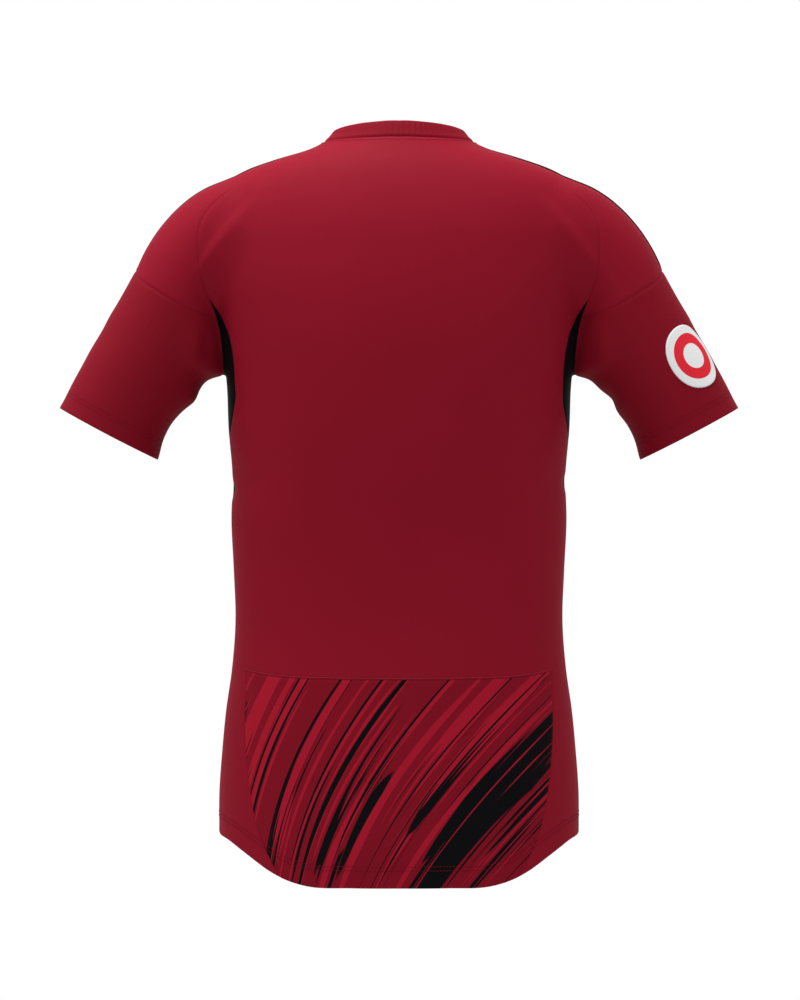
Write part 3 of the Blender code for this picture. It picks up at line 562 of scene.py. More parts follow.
def sleeve_field(places):
    """Distance out of the sleeve's outer face, and its direction, on the +X side."""
    along = (places - SLEEVE_FROM) @ SLEEVE_DOWN
    up = (places - SLEEVE_FROM) @ SLEEVE_UP
    depth = places[:, 1]

    def reach(at):
        widest = smooth(RING_ALONG, RING_WIDEST, at)
        over = up > widest
        room = np.where(
            over,
            smooth(RING_ALONG, RING_TOP, at) - widest,
            widest - smooth(RING_ALONG, RING_UNDER, at),
        )
        deep = smooth(RING_ALONG, RING_DEPTH, at)
        power = np.where(over, SLEEVE_POWER_TOP, SLEEVE_POWER_UNDER)
        out, by_up, by_depth = ring_reach((up - widest) / room, depth / deep, power)
        return out, np.where(over, by_up, -by_up) / room, by_depth / deep

    out, by_up, by_depth = reach(along)
    by_along = (reach(along + 1)[0] - reach(along - 1)[0]) / 2
    slope = by_up[:, None] * SLEEVE_UP + by_along[:, None] * SLEEVE_DOWN
    slope[:, 1] = by_depth * np.sign(depth)
    size = np.linalg.norm(slope, axis=1)
    past_start = RING_ALONG[0] - along
    return np.maximum((out - 1) / size, past_start), slope / size[:, None]


def field(places, softness=0.0):
    """Distance out of the whole jersey's smooth outer face, and its direction."""
    side = np.where(places[:, 0] < 0, -1.0, 1.0)
    right = places * np.stack((side, np.ones_like(side), np.ones_like(side)), axis=1)
    body, body_way = body_field(right)
    sleeve, sleeve_way = sleeve_field(right)
    apart = np.minimum((1 - (body_way * sleeve_way).sum(axis=1)) / 2, BLEND_LIMIT)
    along = (right - SLEEVE_FROM) @ SLEEVE_DOWN
    begun = np.clip((along - RING_ALONG[0]) / BLEND_RUN, 0, 1)
    size = smooth(BLEND_HEIGHT, BLEND_SIZE, places[:, 2]) * apart * begun + LEAST_BLEND
    share = np.clip(0.5 + (sleeve - body) / (2 * size), 0, 1)
    out = share * body + (1 - share) * sleeve - size * share * (1 - share)
    share = np.clip(0.5 + (sleeve - body) / (2 * np.maximum(size, softness)), 0, 1)
    way = unit(share[:, None] * body_way + (1 - share[:, None]) * sleeve_way)
    way[:, 0] *= side
    return out, way


def onto(places, rounds=12):
    """The places, moved onto the smooth outer face by the shortest way."""
    places = np.array(places, float)
    for _ in range(rounds):
        out, way = field(places)
        places -= np.clip(out, -ONTO_STEP, ONTO_STEP)[:, None] * way
    return places


def slide(rows):
    """The seam's rows, each moved onto the outer face in its own direction only."""
    places = np.array([row[:3] for row in rows])
    return slid(places, np.array(["xyz".index(row[3]) for row in rows]))


def slid(places, axis, rounds=40):
    """The places, each moved onto the outer face along its own axis."""
    places = places.copy()
    each = np.arange(len(places))
    for _ in range(rounds):
        out, way = field(places)
        lean = way[each, axis]
        lean = np.where(np.abs(lean) < SLIDE_LEAN, np.copysign(SLIDE_LEAN, lean), lean)
        places[each, axis] -= np.clip(out / lean, -SLIDE_STEP, SLIDE_STEP)
    return places


def lengths(places):
    """Length along a line of places, at each of them."""
    return np.concatenate(([0], np.cumsum(np.linalg.norm(np.diff(places, axis=0), axis=1))))


def read(line, at, where):
    """The line's places, of which each is at a number of its own, read at other numbers."""
    return np.stack([np.interp(where, at, line[:, i]) for i in range(3)], axis=1)


def at_shares(line, share):
    """The places at these shares of the line's length."""
    at = lengths(line)
    return read(line, at, share * at[-1])


def smooth_line(rows, steps):
    """A smooth line through the rows, which lies on the outer face only at each row."""
    knots = slide(rows)
    at = lengths(knots)
    fine = np.linspace(0, at[-1], steps + 1)
    return np.stack([smooth(at, knots[:, i], fine) for i in range(3)], axis=1)


def seam(rows, steps):
    """A smooth seam through the rows, cut into equal steps."""
    return even(onto(smooth_line(rows, CURVE_STEPS)), steps)


def even(curve, steps):
    """The curve, cut into equal steps."""
    return at_shares(curve, np.linspace(0, 1, steps + 1))


def crowded(curve, crowd):
    """The curve, cut into the armhole's fine steps, which are closer at its start."""
    share = np.linspace(0, 1, ARMHOLE_ROWS * FINER + 1)
    return at_shares(curve, share * (1 - crowd * (1 - share)))


def join(*curves):
    """Curves that run on from each other, as one."""
    return np.concatenate([curves[0]] + [curve[1:] for curve in curves[1:]])


def other_side(curve):
    """The curve on the other half of the jersey."""
    return curve * np.array((-1.0, 1.0, 1.0))


def mirrored_row(half):
    """A whole row, from +X to -X, out of its +X half that ends in the middle."""
    return join(half, other_side(half)[::-1])


def coons(bottom, top, left, right, v):
    """A plain grid between four edges; v is the share of the way up, row by row."""
    u = np.linspace(0, 1, len(bottom))[None, :, None]
    v = v[:, None, None]
    grid = (1 - v) * bottom[None] + v * top[None] + (1 - u) * left[:, None] + u * right[:, None]
    grid -= (1 - u) * (1 - v) * bottom[0] + u * (1 - v) * bottom[-1]
    grid -= (1 - u) * v * top[0] + u * v * top[-1]
    return grid


def relaxed(grid, rounds):
    """The grid, with its inner places evened out over the outer face."""
    for _ in range(rounds):
        inner = (grid[:-2, 1:-1] + grid[2:, 1:-1] + grid[1:-1, :-2] + grid[1:-1, 2:]) / 4
        grid[1:-1, 1:-1] = onto(inner.reshape(-1, 3), 3).reshape(inner.shape)
    return grid


def filled(bottom, top, left, right):
    """A grid between four edges that meet at their corners, evened out coarsely, then finely."""
    few = [edge[::FINER] for edge in (bottom, top, left, right)]
    grid = relaxed(coons(*few, np.linspace(0, 1, len(few[2]))), RELAX_ROUNDS)
    rows = np.arange(len(left)) / FINER
    across = np.arange(len(bottom)) / FINER
    grid = sampled(grid, rows, across)
    edges = [
        edge - chord
        for edge, chord in zip(
            (bottom, top, left, right), (grid[0], grid[-1], grid[:, 0], grid[:, -1])
        )
    ]
    grid += coons(*edges, np.linspace(0, 1, len(left)))
    grid[1:-1, 1:-1] = onto(grid[1:-1, 1:-1].reshape(-1, 3)).reshape(grid[1:-1, 1:-1].shape)
    return relaxed(grid, DRAPE_ROUNDS)


def sampled(grid, rows, across):
    """The grid, read at places between its rows and columns."""
    low = np.minimum(rows.astype(int), len(grid) - 2)
    part = (rows - low)[:, None, None]
    grid = grid[low] * (1 - part) + grid[low + 1] * part
    low = np.minimum(across.astype(int), grid.shape[1] - 2)
    part = (across - low)[None, :, None]
    return grid[:, low] * (1 - part) + grid[:, low + 1] * part


def draped(bottom, top, left, right, side):
    """A grid like filled(), for a panel that is seen from one side: back 1 or front -1."""
    rows, steps = len(left) - 1, len(bottom) - 1
    share = lengths(left) / lengths(left)[-1]
    fine = np.linspace(0, rows, rows * FINE_ROWS + 1)
    every = np.arange(rows + 1)
    sides = [read(edge, every, fine) for edge in (left, right)]
    grid = coons(bottom, top, *sides, np.interp(fine, every, share))
    inner = grid[1:-1, 1:-1].reshape(-1, 3)
    inner[:, 1] = OUTSIDE * side
    grid[1:-1, 1:-1] = slid(inner, np.ones(len(inner), int)).reshape(grid[1:-1, 1:-1].shape)
    made = np.stack([at_shares(grid[:, j], share) for j in range(steps + 1)], axis=1)
    made[:, 0], made[:, -1], made[0], made[-1] = left, right, bottom, top
    bottom_share = lengths(bottom) / lengths(bottom)[-1]
    top_share = lengths(top) / lengths(top)[-1]
    for i in range(1, rows):
        made[i] = at_shares(made[i], bottom_share + (top_share - bottom_share) * i / rows)
    inner = made[1:-1, 1:-1]
    made[1:-1, 1:-1] = onto(inner.reshape(-1, 3)).reshape(inner.shape)
    return relaxed(made, DRAPE_ROUNDS)


def fold_height(places):
    """How far the folds lift the cloth at each place."""
    lift = np.zeros(len(places))
    for start, end, half_width, height in FOLDS:
        start = np.array(start)
        run = np.array(end) - start
        t = np.clip((places - start) @ run / (run @ run), 0, 1)
        off = np.linalg.norm(places - start - t[:, None] * run, axis=1)
        ends = np.sin(np.pi * t) ** 2
        lift += height * ends * np.exp(-((off / half_width) ** 2))
    return lift


def line_places(count, seams):
    """Where a grid of this many steps has its lines, with extra ones beside its seams."""
    at = set(range(count + 1))
    for line in seams:
        for part in EDGE_LINES:
            at |= {line - part, line + part}
    return np.array(sorted(p for p in at if 0 <= p <= count), float)


def grid_faces(rows, steps, closed=False):
    """Quads of a grid of places, row after row."""
    wide = steps if closed else steps + 1
    faces = []
    for i in range(rows):
        for j in range(steps):
            k = (j + 1) % wide
            faces.append((i * wide + j, i * wide + k, (i + 1) * wide + k, (i + 1) * wide + j))
    return faces


def tube_faces(steps, sides):
    """Faces of a tube of rings of places, closed at both ends."""
    ends = [tuple(range(sides - 1, -1, -1)), tuple(steps * sides + i for i in range(sides))]
    return grid_faces(steps, sides, closed=True) + ends


def boundary(faces):
    """The edges that only one of the quads has, each with its quad's sense."""
    edges = {(f[i], f[(i + 1) % 4]) for f in faces for i in range(4)}
    return sorted((a, b) for a, b in edges if (b, a) not in edges)


def closed_wall(faces, rim, count):
    """The outer faces, the same ones on the inner places, and the strip between their rims."""
    inner = [tuple(i + count for i in face[::-1]) for face in faces]
    return faces + inner + [(b, a, a + count, b + count) for a, b in rim]


def drawn_back(places, rim, ways):
    """The places, with every edge of the piece drawn back by half a seam's gap."""
    after = dict(rim)
    before = {b: a for a, b in rim}
    moved = places.copy()
    for here, to in after.items():
        inward = []
        for a, b in ((before[here], here), (here, to)):
            side = np.cross(ways[here], places[b] - places[a])
            inward.append(side / max(np.linalg.norm(side), TINY))
        shift = (inward[0] + inward[1]) / max(1 + inward[0] @ inward[1], MITRE_LIMIT)
        moved[here] += shift * SEAM_GAP / 2
    return moved


def facing_out(places, faces, ways):
    """The faces, turned so that they go round the outer side."""
    a, b, c, d = faces[len(faces) // 2]
    turned = np.cross(places[c] - places[a], places[d] - places[b]) @ ways[a] < 0
    return [face[::-1] for face in faces] if turned else faces


def used_only(faces, *arrays):
    """The faces over the places that they use, and the arrays of those places."""
    used = sorted({i for face in faces for i in face})
    index = {old: new for new, old in enumerate(used)}
    return [tuple(index[i] for i in face) for face in faces], *(array[used] for array in arrays)


def distance_to(places, segments):
    """Distance from each place to the nearest of the segments, up to some way off."""
    if not segments:
        return np.full(len(places), FAR_OFF)
    points = []
    for a, b in segments:
        count = max(2, int(np.linalg.norm(b - a) / POINT_STEP))
        points.extend(a + (b - a) * t for t in np.linspace(0, 1, count, endpoint=False))
    tree = KDTree(len(points))
    for i, point in enumerate(points):
        tree.insert(point, i)
    tree.balance()
    return np.array([tree.find(place)[2] for place in places])


def smooth_object(name, vertices, faces, uv=None, sharp=CLOTH_SHARP):
    """A smooth-shaded mesh in metres, with its cloth directions, in metres, as UVs."""
    mesh = bpy.data.meshes.new(name)
    mesh.from_pydata((vertices * MM).tolist(), [], faces)
    if uv is not None:
        layer = mesh.uv_layers.new(name="cloth")
        index = np.empty(len(mesh.loops), int)
        mesh.loops.foreach_get("vertex_index", index)
        layer.data.foreach_set("uv", (uv[index] * MM).ravel())
    mesh.shade_smooth()
    mesh.set_sharp_from_angle(angle=math.radians(sharp))
    made = bpy.data.objects.new(name, mesh)
    bpy.context.scene.collection.objects.link(made)
    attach(made, "root")
    return made


FREE_EDGES = []  # the hem and the cuffs, as places


def cloth(name, places, faces, uv, material, lining=None):
    """One cut piece of cloth, as a closed thin wall with its seams, hem and folds."""
    faces, places, uv = used_only(faces, places, uv)
    _, ways = field(places, WALL_SOFTNESS)
    faces = facing_out(places, faces, ways)
    rim = boundary(faces)
    free = distance_to(places, list(zip(FREE_EDGES[:-1], FREE_EDGES[1:]))) < FREE_REACH
    seams = [(places[a], places[b]) for a, b in rim if not (free[a] and free[b])]
    hems = [(places[a], places[b]) for a, b in rim if free[a] and free[b]]
    to_seam = distance_to(places, seams)
    to_hem = distance_to(places, hems)
    turned = np.clip((HEM_TURN - to_hem) / HEM_SOFT, 0, 1) * np.clip(to_hem / HEM_SOFT, 0, 1)
    round_off = EDGE_ROUND * np.clip(1 - to_hem / EDGE_REACH, 0, 1) ** 2
    places = drawn_back(places, rim, ways)
    lift = fold_height(places)
    outer = lift - SEAM_DIP * np.exp(-((to_seam / SEAM_REACH) ** 2)) - round_off
    inner = lift - CLOTH - SEAM_ALLOWANCE * np.exp(-((to_seam / ALLOWANCE_REACH) ** 4))
    inner += round_off - HEM_THICKER * turned
    both = np.concatenate((places + ways * outer[:, None], places + ways * inner[:, None]))
    walls = closed_wall(faces, rim, len(places))
    made = smooth_object(name + "_cloth", both, walls, np.concatenate((uv, uv)))
    made.data.materials.append(material)
    if lining:
        made.data.materials.append(lining)
        for face in made.data.polygons[len(faces) : 2 * len(faces)]:
            face.material_index = 1
    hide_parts(name)


def grid_uv(grid):
    """Distances across and along the cloth, for its knit."""
    middle_row = grid[len(grid) // 2]
    middle_column = grid[:, grid.shape[1] // 2]
    u = lengths(middle_row)
    v = lengths(middle_column)
    return np.stack(np.meshgrid(u, v), axis=2)


def side_seams():
    """The seams of the +X half, cut into fine steps."""
    return {
        "armhole_back": crowded(seam(ARMHOLE_BACK, CURVE_STEPS)[::-1], ARMHOLE_CROWD),
        "armhole_front": crowded(seam(ARMHOLE_FRONT, CURVE_STEPS)[::-1], ARMHOLE_CROWD),
        "insert_back": seam(INSERT_BACK, SIDE_ROWS * FINER)[::-1],
        "insert_front": seam(INSERT_FRONT, SIDE_ROWS * FINER)[::-1],
        "side_back": seam((SIDE_HEM_BACK, INSERT_BACK[-1]), HEM_ROWS * FINER),
        "side_front": seam((SIDE_HEM_FRONT, INSERT_FRONT[-1]), HEM_ROWS * FINER),
        "shoulder": seam(SHOULDER, SHOULDER_STEPS * FINER),
        "neck_back": seam(NECK_BACK, NECK_STEPS * FINER),
        "neck_front": seam(NECK_FRONT, NECK_STEPS * FINER),
    }


def make_back(seams, hem, knit, printed):
    """The back, cut round the printed piece in its lower edge, whose top seam is returned."""
    print_half = (SHOULDER_STEPS + NECK_STEPS - STRIP_STEPS) * FINER
    strip_steps = STRIP_STEPS * FINER
    hem_rows = HEM_ROWS * FINER
    side = join(seams["side_back"], seams["insert_back"], seams["armhole_back"])
    top = mirrored_row(join(seams["shoulder"], seams["neck_back"]))
    print_top = seam(PRINT_TOP, print_half)
    strip_top = seam(SIDE_TO_PRINT, strip_steps)
    print_side = seam(PRINT_SIDE, hem_rows)
    corner = np.argmin(np.linalg.norm(hem - print_side[0], axis=1))
    strip_hem = even(hem[: corner + 1], strip_steps)
    print_hem = even(hem[corner:], print_half)
    print_side[0] = hem[corner]

    seam_row = mirrored_row(join(strip_top, print_top))
    upper = draped(seam_row, top, side[hem_rows:], other_side(side[hem_rows:]), 1)
    strip = filled(strip_hem, strip_top, side[: hem_rows + 1], print_side)
    middle = filled(
        mirrored_row(print_hem), mirrored_row(print_top), print_side, other_side(print_side)
    )
    lower = np.concatenate((strip[:, :-1], middle, other_side(strip)[:, ::-1][:, 1:]), axis=1)
    grid = np.concatenate((lower, upper[1:]))
    rows, steps = grid.shape[0] - 1, grid.shape[1] - 1
    rows_at = line_places(rows, (0, hem_rows, rows))
    steps_at = line_places(steps, (0, strip_steps, steps - strip_steps, steps))
    grid = sampled(grid, rows_at, steps_at)
    faces = grid_faces(len(rows_at) - 1, len(steps_at) - 1)
    wide = len(steps_at) - 1
    low = rows_at[[n // wide for n in range(len(faces))]] < hem_rows
    across = steps_at[[n % wide for n in range(len(faces))]]
    in_print = low & (across >= strip_steps) & (across < steps - strip_steps)
    places = onto(grid.reshape(-1, 3), 4)
    uv = grid_uv(grid).reshape(-1, 2)
    plain = [f for f, p in zip(faces, in_print) if not p]
    pattern = [f for f, p in zip(faces, in_print) if p]
    cloth("back_panel", places, plain, uv, knit)
    cloth("back_hem_panel", places, pattern, uv, printed, knit)
    return mirrored_row(print_top)


def make_front(seams, knit):
    """The front, whose hem is returned."""
    half = (SHOULDER_STEPS + NECK_STEPS) * FINER
    side = join(seams["side_front"], seams["insert_front"], seams["armhole_front"])
    top = mirrored_row(join(seams["shoulder"], seams["neck_front"]))
    hem = mirrored_row(seam(HEM_FRONT, half))
    grid = draped(hem, top, side, other_side(side), -1)
    add_grid("front_panel", 1, grid, knit)
    return hem


def make_insert(name, side, seams, under, material):
    """The dark piece under the arm and down the side."""
    back = join(seams["side_back"], seams["insert_back"])
    front = join(seams["side_front"], seams["insert_front"])
    steps = len(under) - 1
    split = len(back) - 1 - TOP_ROWS * FINER
    ends = np.stack((back[: split + 1], front[: split + 1]), axis=1)
    share = np.linspace(0, 1, INSERT_PLACES)[:, None]
    rows = [even(onto(a * (1 - share) + b * share), steps) for a, b in ends]
    top = filled(rows[-1], under, back[split:], front[split:])
    grid = np.concatenate((rows[:-1], top))
    add_grid(name, side, grid, material)


def add_grid(name, side, grid, material, closed=False):
    """A piece of the +X half, or its twin on the other half."""
    if side < 0:
        grid = other_side(grid)
    rows, steps = grid.shape[0] - 1, grid.shape[1] - 1
    rows_at = line_places(rows, (0, rows))
    steps_at = np.arange(steps + 1.0) if closed else line_places(steps, (0, steps))
    grid = sampled(grid, rows_at, steps_at)
    uv = grid_uv(np.concatenate((grid, grid[:, :1]), axis=1))[:, :-1] if closed else grid_uv(grid)
    faces = grid_faces(len(rows_at) - 1, len(steps_at) - (0 if closed else 1), closed)
    places = onto(grid.reshape(-1, 3), 4)
    cloth(name, places, faces, uv.reshape(-1, 2), material)


def at_front(rows):
    """The rows, as deep in front as they are at the back."""
    return [(x, -y, z, way) for x, y, z, way in rows]


def underarm():
    """The lower part of the armhole, from the back point of the insert to its front point."""
    halves = []
    for rows in (ARMHOLE_UNDER_BACK, at_front(ARMHOLE_UNDER_BACK)):
        tip = seam(rows[:2], TIP_STEPS * FINER)
        halves.append(join(tip, seam(rows[1:], UNDERARM_STEPS * FINER)))
    return join(halves[0], halves[1][::-1])


def cuff(count):
    """The sleeve's open end, from the underarm round the back, in equal steps."""
    turn = np.linspace(0, 2 * math.pi, CURVE_STEPS + 1)
    along = CUFF_UNDER + (CUFF_TOP - CUFF_UNDER) * (1 - np.cos(turn)) / 2
    up = -np.cos(turn) * CUFF_RADIUS
    places = SLEEVE_FROM + along[:, None] * SLEEVE_DOWN + up[:, None] * SLEEVE_UP
    places[:, 1] = np.sin(turn) * CUFF_RADIUS
    for _ in range(CUFF_ROUNDS):
        places = onto(places)
        now = (places - SLEEVE_FROM) @ SLEEVE_DOWN
        places += (along - now)[:, None] * SLEEVE_DOWN
    return even(places, count)


def cross_seam():
    """The seam across the sleeve, from front to back over its top."""
    front_rows = [CROSS_BACK[0]] + at_front(CROSS_BACK[1:])
    back = crowded(seam(CROSS_BACK, CURVE_STEPS), CROSS_CROWD)
    front = crowded(seam(front_rows, CURVE_STEPS), CROSS_CROWD)
    return join(front[::-1], back)


def make_sleeve(name, side, seams, under, upper_material, lower_material):
    """The sleeve's head, down to the cross seam, and the rest of it, down to the cuff."""
    head = join(seams["armhole_front"], seams["armhole_back"][::-1])
    cross = cross_seam()
    tip = TIP_STEPS * FINER
    back_side = even(under[: tip + 1], CAP_ROWS * FINER)
    front_side = even(under[::-1][: tip + 1], CAP_ROWS * FINER)
    cap = filled(cross, head, front_side[::-1], back_side[::-1])
    add_grid("sleeve_upper_" + name, side, cap, upper_material)

    below = under[tip : len(under) - tip]
    middle = len(below) // 2
    ring = np.concatenate((below[middle::-1], cross[::-1][1:], below[-2:middle:-1]))
    fraction = lengths(np.concatenate((ring, ring[:1])))[:-1]
    fraction /= fraction[-1] + np.linalg.norm(ring[-1] - ring[0])
    even_share = np.arange(len(ring)) / len(ring)
    end = at_shares(cuff(CURVE_STEPS), (fraction + even_share) / 2)
    grid = np.linspace(ring, end, SLEEVE_ROWS * FINER + 1)
    inside = grid[1:-1].reshape(-1, 3)
    grid[1:-1] = onto(inside).reshape(grid[1:-1].shape)
    add_grid("sleeve_lower_" + name, side, grid, lower_material, closed=True)


def make_collar(loop, material):
    """The band round the neck, ribbed on its outer side and folded at its top."""
    count = RIBS * RIB_SAMPLES
    foot = even(loop, count)[:-1]
    _, ways = field(foot)
    tangent = np.roll(foot, -1, axis=0) - np.roll(foot, 1, axis=0)
    inward = unit(np.cross(ways, tangent))
    turn = 2 * math.pi * np.arange(count) / RIB_SAMPLES
    rib = RIB_HEIGHT * (0.5 + 0.5 * np.cos(turn)) ** RIB_POWER
    outer_rows = []
    inner_rows = []
    uv_rows = []
    around = lengths(np.concatenate((foot, foot[:1])))[:-1]
    height = 1 - BAND_NARROWER * np.clip(np.abs(foot[:, 0]) / BAND_SIDE, 0, 1) ** 4
    for line in BAND_LINES:
        places = onto(foot + inward * (line * height)[:, None])
        _, ways = field(places)
        to_top = BAND_HEIGHT - line
        shown = np.clip(line / RIB_FADE, 0, 1) * np.clip(to_top / RIB_FADE, 0, 1)
        half = BAND_WALL / 2
        bend = half - math.sqrt(max(half**2 - max(half - to_top, 0) ** 2, 0))
        dip = (BAND_DIP + BAND_LIFT) * math.exp(-((line / SEAM_REACH) ** 2)) - BAND_LIFT
        lift = fold_height(places) + rib * shown
        outer_rows.append(places + ways * (lift - bend - dip)[:, None])
        inner_rows.append(places + ways * (fold_height(places) - BAND_WALL + bend)[:, None])
        uv_rows.append(np.stack((around, np.full(count, line)), axis=1))
    lines = len(BAND_LINES)
    outer = np.concatenate(outer_rows)
    faces = grid_faces(lines - 1, count, closed=True)
    faces = facing_out(outer, faces, np.tile(ways, (lines, 1)))
    walls = closed_wall(faces, boundary(faces), len(outer))
    both = np.concatenate(outer_rows + inner_rows)
    uv = np.concatenate(uv_rows + uv_rows)
    made = smooth_object("collar_band_cloth", both, walls, uv, BAND_SHARP)
    made.data.materials.append(material)
    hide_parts("collar_band")


def make_patch(material):
    """A round patch with a rounded edge, that lies on the sleeve."""
    middle = slide((PATCH_PLACE,))
    _, ways = field(middle)
    sideways = np.cross(ways[0], SLEEVE_UP * np.array((-1, 1, 1)))
    sideways /= np.linalg.norm(sideways)
    upward = np.cross(ways[0], sideways)
    turn = np.linspace(0, 2 * math.pi, PATCH_SPOKES, endpoint=False)
    spoke = np.cos(turn)[:, None] * sideways + np.sin(turn)[:, None] * upward
    flat = np.stack((np.cos(turn), np.sin(turn)), axis=1)
    radii = PATCH_RADIUS * np.sin(np.linspace(0, math.pi / 2, PATCH_LINES + 1)[1:])
    places = onto(np.concatenate([middle] + [middle + spoke * r for r in radii]))
    uv = np.concatenate([np.zeros((1, 2))] + [flat * r for r in radii])
    _, ways = field(places)
    radius = np.linalg.norm(uv, axis=1)
    bend = PATCH_ROUND - np.sqrt(
        np.maximum(PATCH_ROUND**2 - np.maximum(radius - PATCH_RADIUS + PATCH_ROUND, 0) ** 2, 0)
    )
    base = places + ways * (fold_height(places) + PATCH_LIFT)[:, None]
    top = base + ways * np.maximum(PATCH_WALL - bend, PATCH_RIM)[:, None]
    pairs = [(j, (j + 1) % PATCH_SPOKES) for j in range(PATCH_SPOKES)]
    faces = []
    for j, k in pairs:
        faces.append((0, 1 + j, 1 + k))
        for n in range(PATCH_LINES - 1):
            a = 1 + n * PATCH_SPOKES
            b = a + PATCH_SPOKES
            faces.append((a + j, b + j, b + k, a + k))
    last = 1 + (PATCH_LINES - 1) * PATCH_SPOKES
    walls = closed_wall(faces, [(last + j, last + k) for j, k in pairs], len(places))
    both = np.concatenate((top, base))
    made = smooth_object("sleeve_patch_cloth", both, walls, np.concatenate((uv, uv)))
    made.data.materials.append(material)
    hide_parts("sleeve_patch")


def stitch_line(curve, away, closed=False):
    """The curve moved over the cloth by this much, square to itself."""
    ends = np.concatenate((curve[-2:-1], curve, curve[1:2])) if closed else curve
    tangent = np.gradient(ends, axis=0)
    tangent = tangent[1:-1] if closed else tangent
    _, ways = field(curve)
    return onto(curve + unit(np.cross(ways, tangent)) * away)


def make_stitches(name, lines, material):
    """Rows of stitches along lines on the cloth."""
    section = np.linspace(0, 2 * math.pi, STITCH_SIDES, endpoint=False)
    tube = tube_faces(len(STITCH_RINGS) - 1, STITCH_SIDES)
    vertices = []
    faces = []
    for line in lines:
        length = lengths(line)[-1]
        count = max(2, int(length / (STITCH_LENGTH + STITCH_GAP)))
        shares = (np.arange(count) + 0.5) / count
        half = STITCH_LENGTH / 2 / length
        rows = []
        for part, size in STITCH_RINGS:
            places = at_shares(line, shares + half * part)
            _, ways = field(places)
            lift = fold_height(places) + STITCH_RADIUS * (STITCH_LIFT - STITCH_SUNK * part * part)
            centre = places + ways * lift[:, None]
            rows.append((centre, ways, size * STITCH_RADIUS))
        run = unit(rows[-1][0] - rows[0][0])
        for n in range(count):
            start = len(vertices)
            for centre, ways, radius in rows:
                side = np.cross(run[n], ways[n])
                for angle in section:
                    offset = math.cos(angle) * ways[n] + math.sin(angle) * side
                    vertices.append(centre[n] + offset * radius)
            faces += [tuple(start + i for i in face) for face in tube]
    made = smooth_object(name, np.array(vertices), faces, sharp=THREAD_SHARP)
    made.data.materials.append(material)


def make_dark_line(name, side, material):
    """A thin cord that lies along a line on the cloth, for a shoulder's dark edge line, which is
    partly painted shade.
    """
    rows = [(side * x, left if side > 0 else right, z, way) for x, left, right, z, way in DARK_LINE]
    share = np.linspace(0, 1, DARK_LINE_STEPS + 1)
    line = smooth_line(rows, DARK_LINE_STEPS)
    line = slid(line, np.full(len(line), "xyz".index("z")))
    size = np.clip(np.minimum(share, 1 - share) / DARK_LINE_TAPER, DARK_LINE_TIP, 1) ** 0.5
    _, ways = field(line, WALL_SOFTNESS)
    lift = fold_height(line) + DARK_LINE_RADIUS * (DARK_LINE_LIFT * size - DARK_LINE_SUNK)
    centre = line + ways * lift[:, None]
    across = unit(np.cross(ways, np.gradient(line, axis=0)))
    turn = np.linspace(0, 2 * math.pi, DARK_LINE_SIDES, endpoint=False)
    rings = [
        centre + (math.cos(t) * ways + math.sin(t) * across) * (DARK_LINE_RADIUS * size)[:, None]
        for t in turn
    ]
    vertices = np.stack(rings, axis=1).reshape(-1, 3)
    faces = tube_faces(DARK_LINE_STEPS, DARK_LINE_SIDES)
    made = smooth_object(name, vertices, faces, sharp=THREAD_SHARP)
    made.data.materials.append(material)


class Nodes:
    """A small helper that adds shader nodes and links them."""

    def __init__(self, name, colour, roughness):
        self.material = bpy.data.materials.new(name)
        self.material.use_nodes = True
        self.tree = self.material.node_tree
        self.shader = self.tree.nodes["Principled BSDF"]
        self.shader.inputs["Base Color"].default_value = (*colour, 1.0)
        self.shader.inputs["Roughness"].default_value = roughness
        self.shader.inputs["Specular IOR Level"].default_value = SPECULAR

    def add(self, kind, settings=None, **inputs):
        """A node with its settings and its inputs, by name, or by number as i0, i1 and so on."""
        node = self.tree.nodes.new("ShaderNode" + kind)
        for key, value in (settings or {}).items():
            setattr(node, key, value)
        for key, value in inputs.items():
            key = int(key[1:]) if key[0] == "i" and key[1:].isdigit() else key.replace("_", " ")
            if isinstance(value, bpy.types.NodeSocket):
                self.tree.links.new(value, node.inputs[key])
            else:
                node.inputs[key].default_value = value
        return node

    def math(self, operation, a, b=0.0, c=0.0):
        """The result of one sum on numbers or outputs."""
        return self.add("Math", {"operation": operation}, i0=a, i1=b, i2=c).outputs[0]

    def mix(self, factor, a, b):
        """From colour a to colour b as the factor goes from 0 to 1."""
        node = self.add("Mix", {"data_type": "RGBA"})
        for socket, value in ((node.inputs[0], factor), (node.inputs[6], a), (node.inputs[7], b)):
            if isinstance(value, bpy.types.NodeSocket):
                self.tree.links.new(value, socket)
            else:
                socket.default_value = value if socket is node.inputs[0] else (*value, 1.0)
        return node.outputs[2]

    def above(self, value, limit, soft):
        """From 0 to 1 as the value passes the limit."""
        node = self.add(
            "MapRange",
            {"interpolation_type": "SMOOTHSTEP"},
            Value=value,
            From_Min=limit - soft,
            From_Max=limit + soft,
        )
        return node.outputs[0]

    def link(self, output, socket):
        """Links the output to the shader."""
        self.tree.links.new(output, self.shader.inputs[socket])


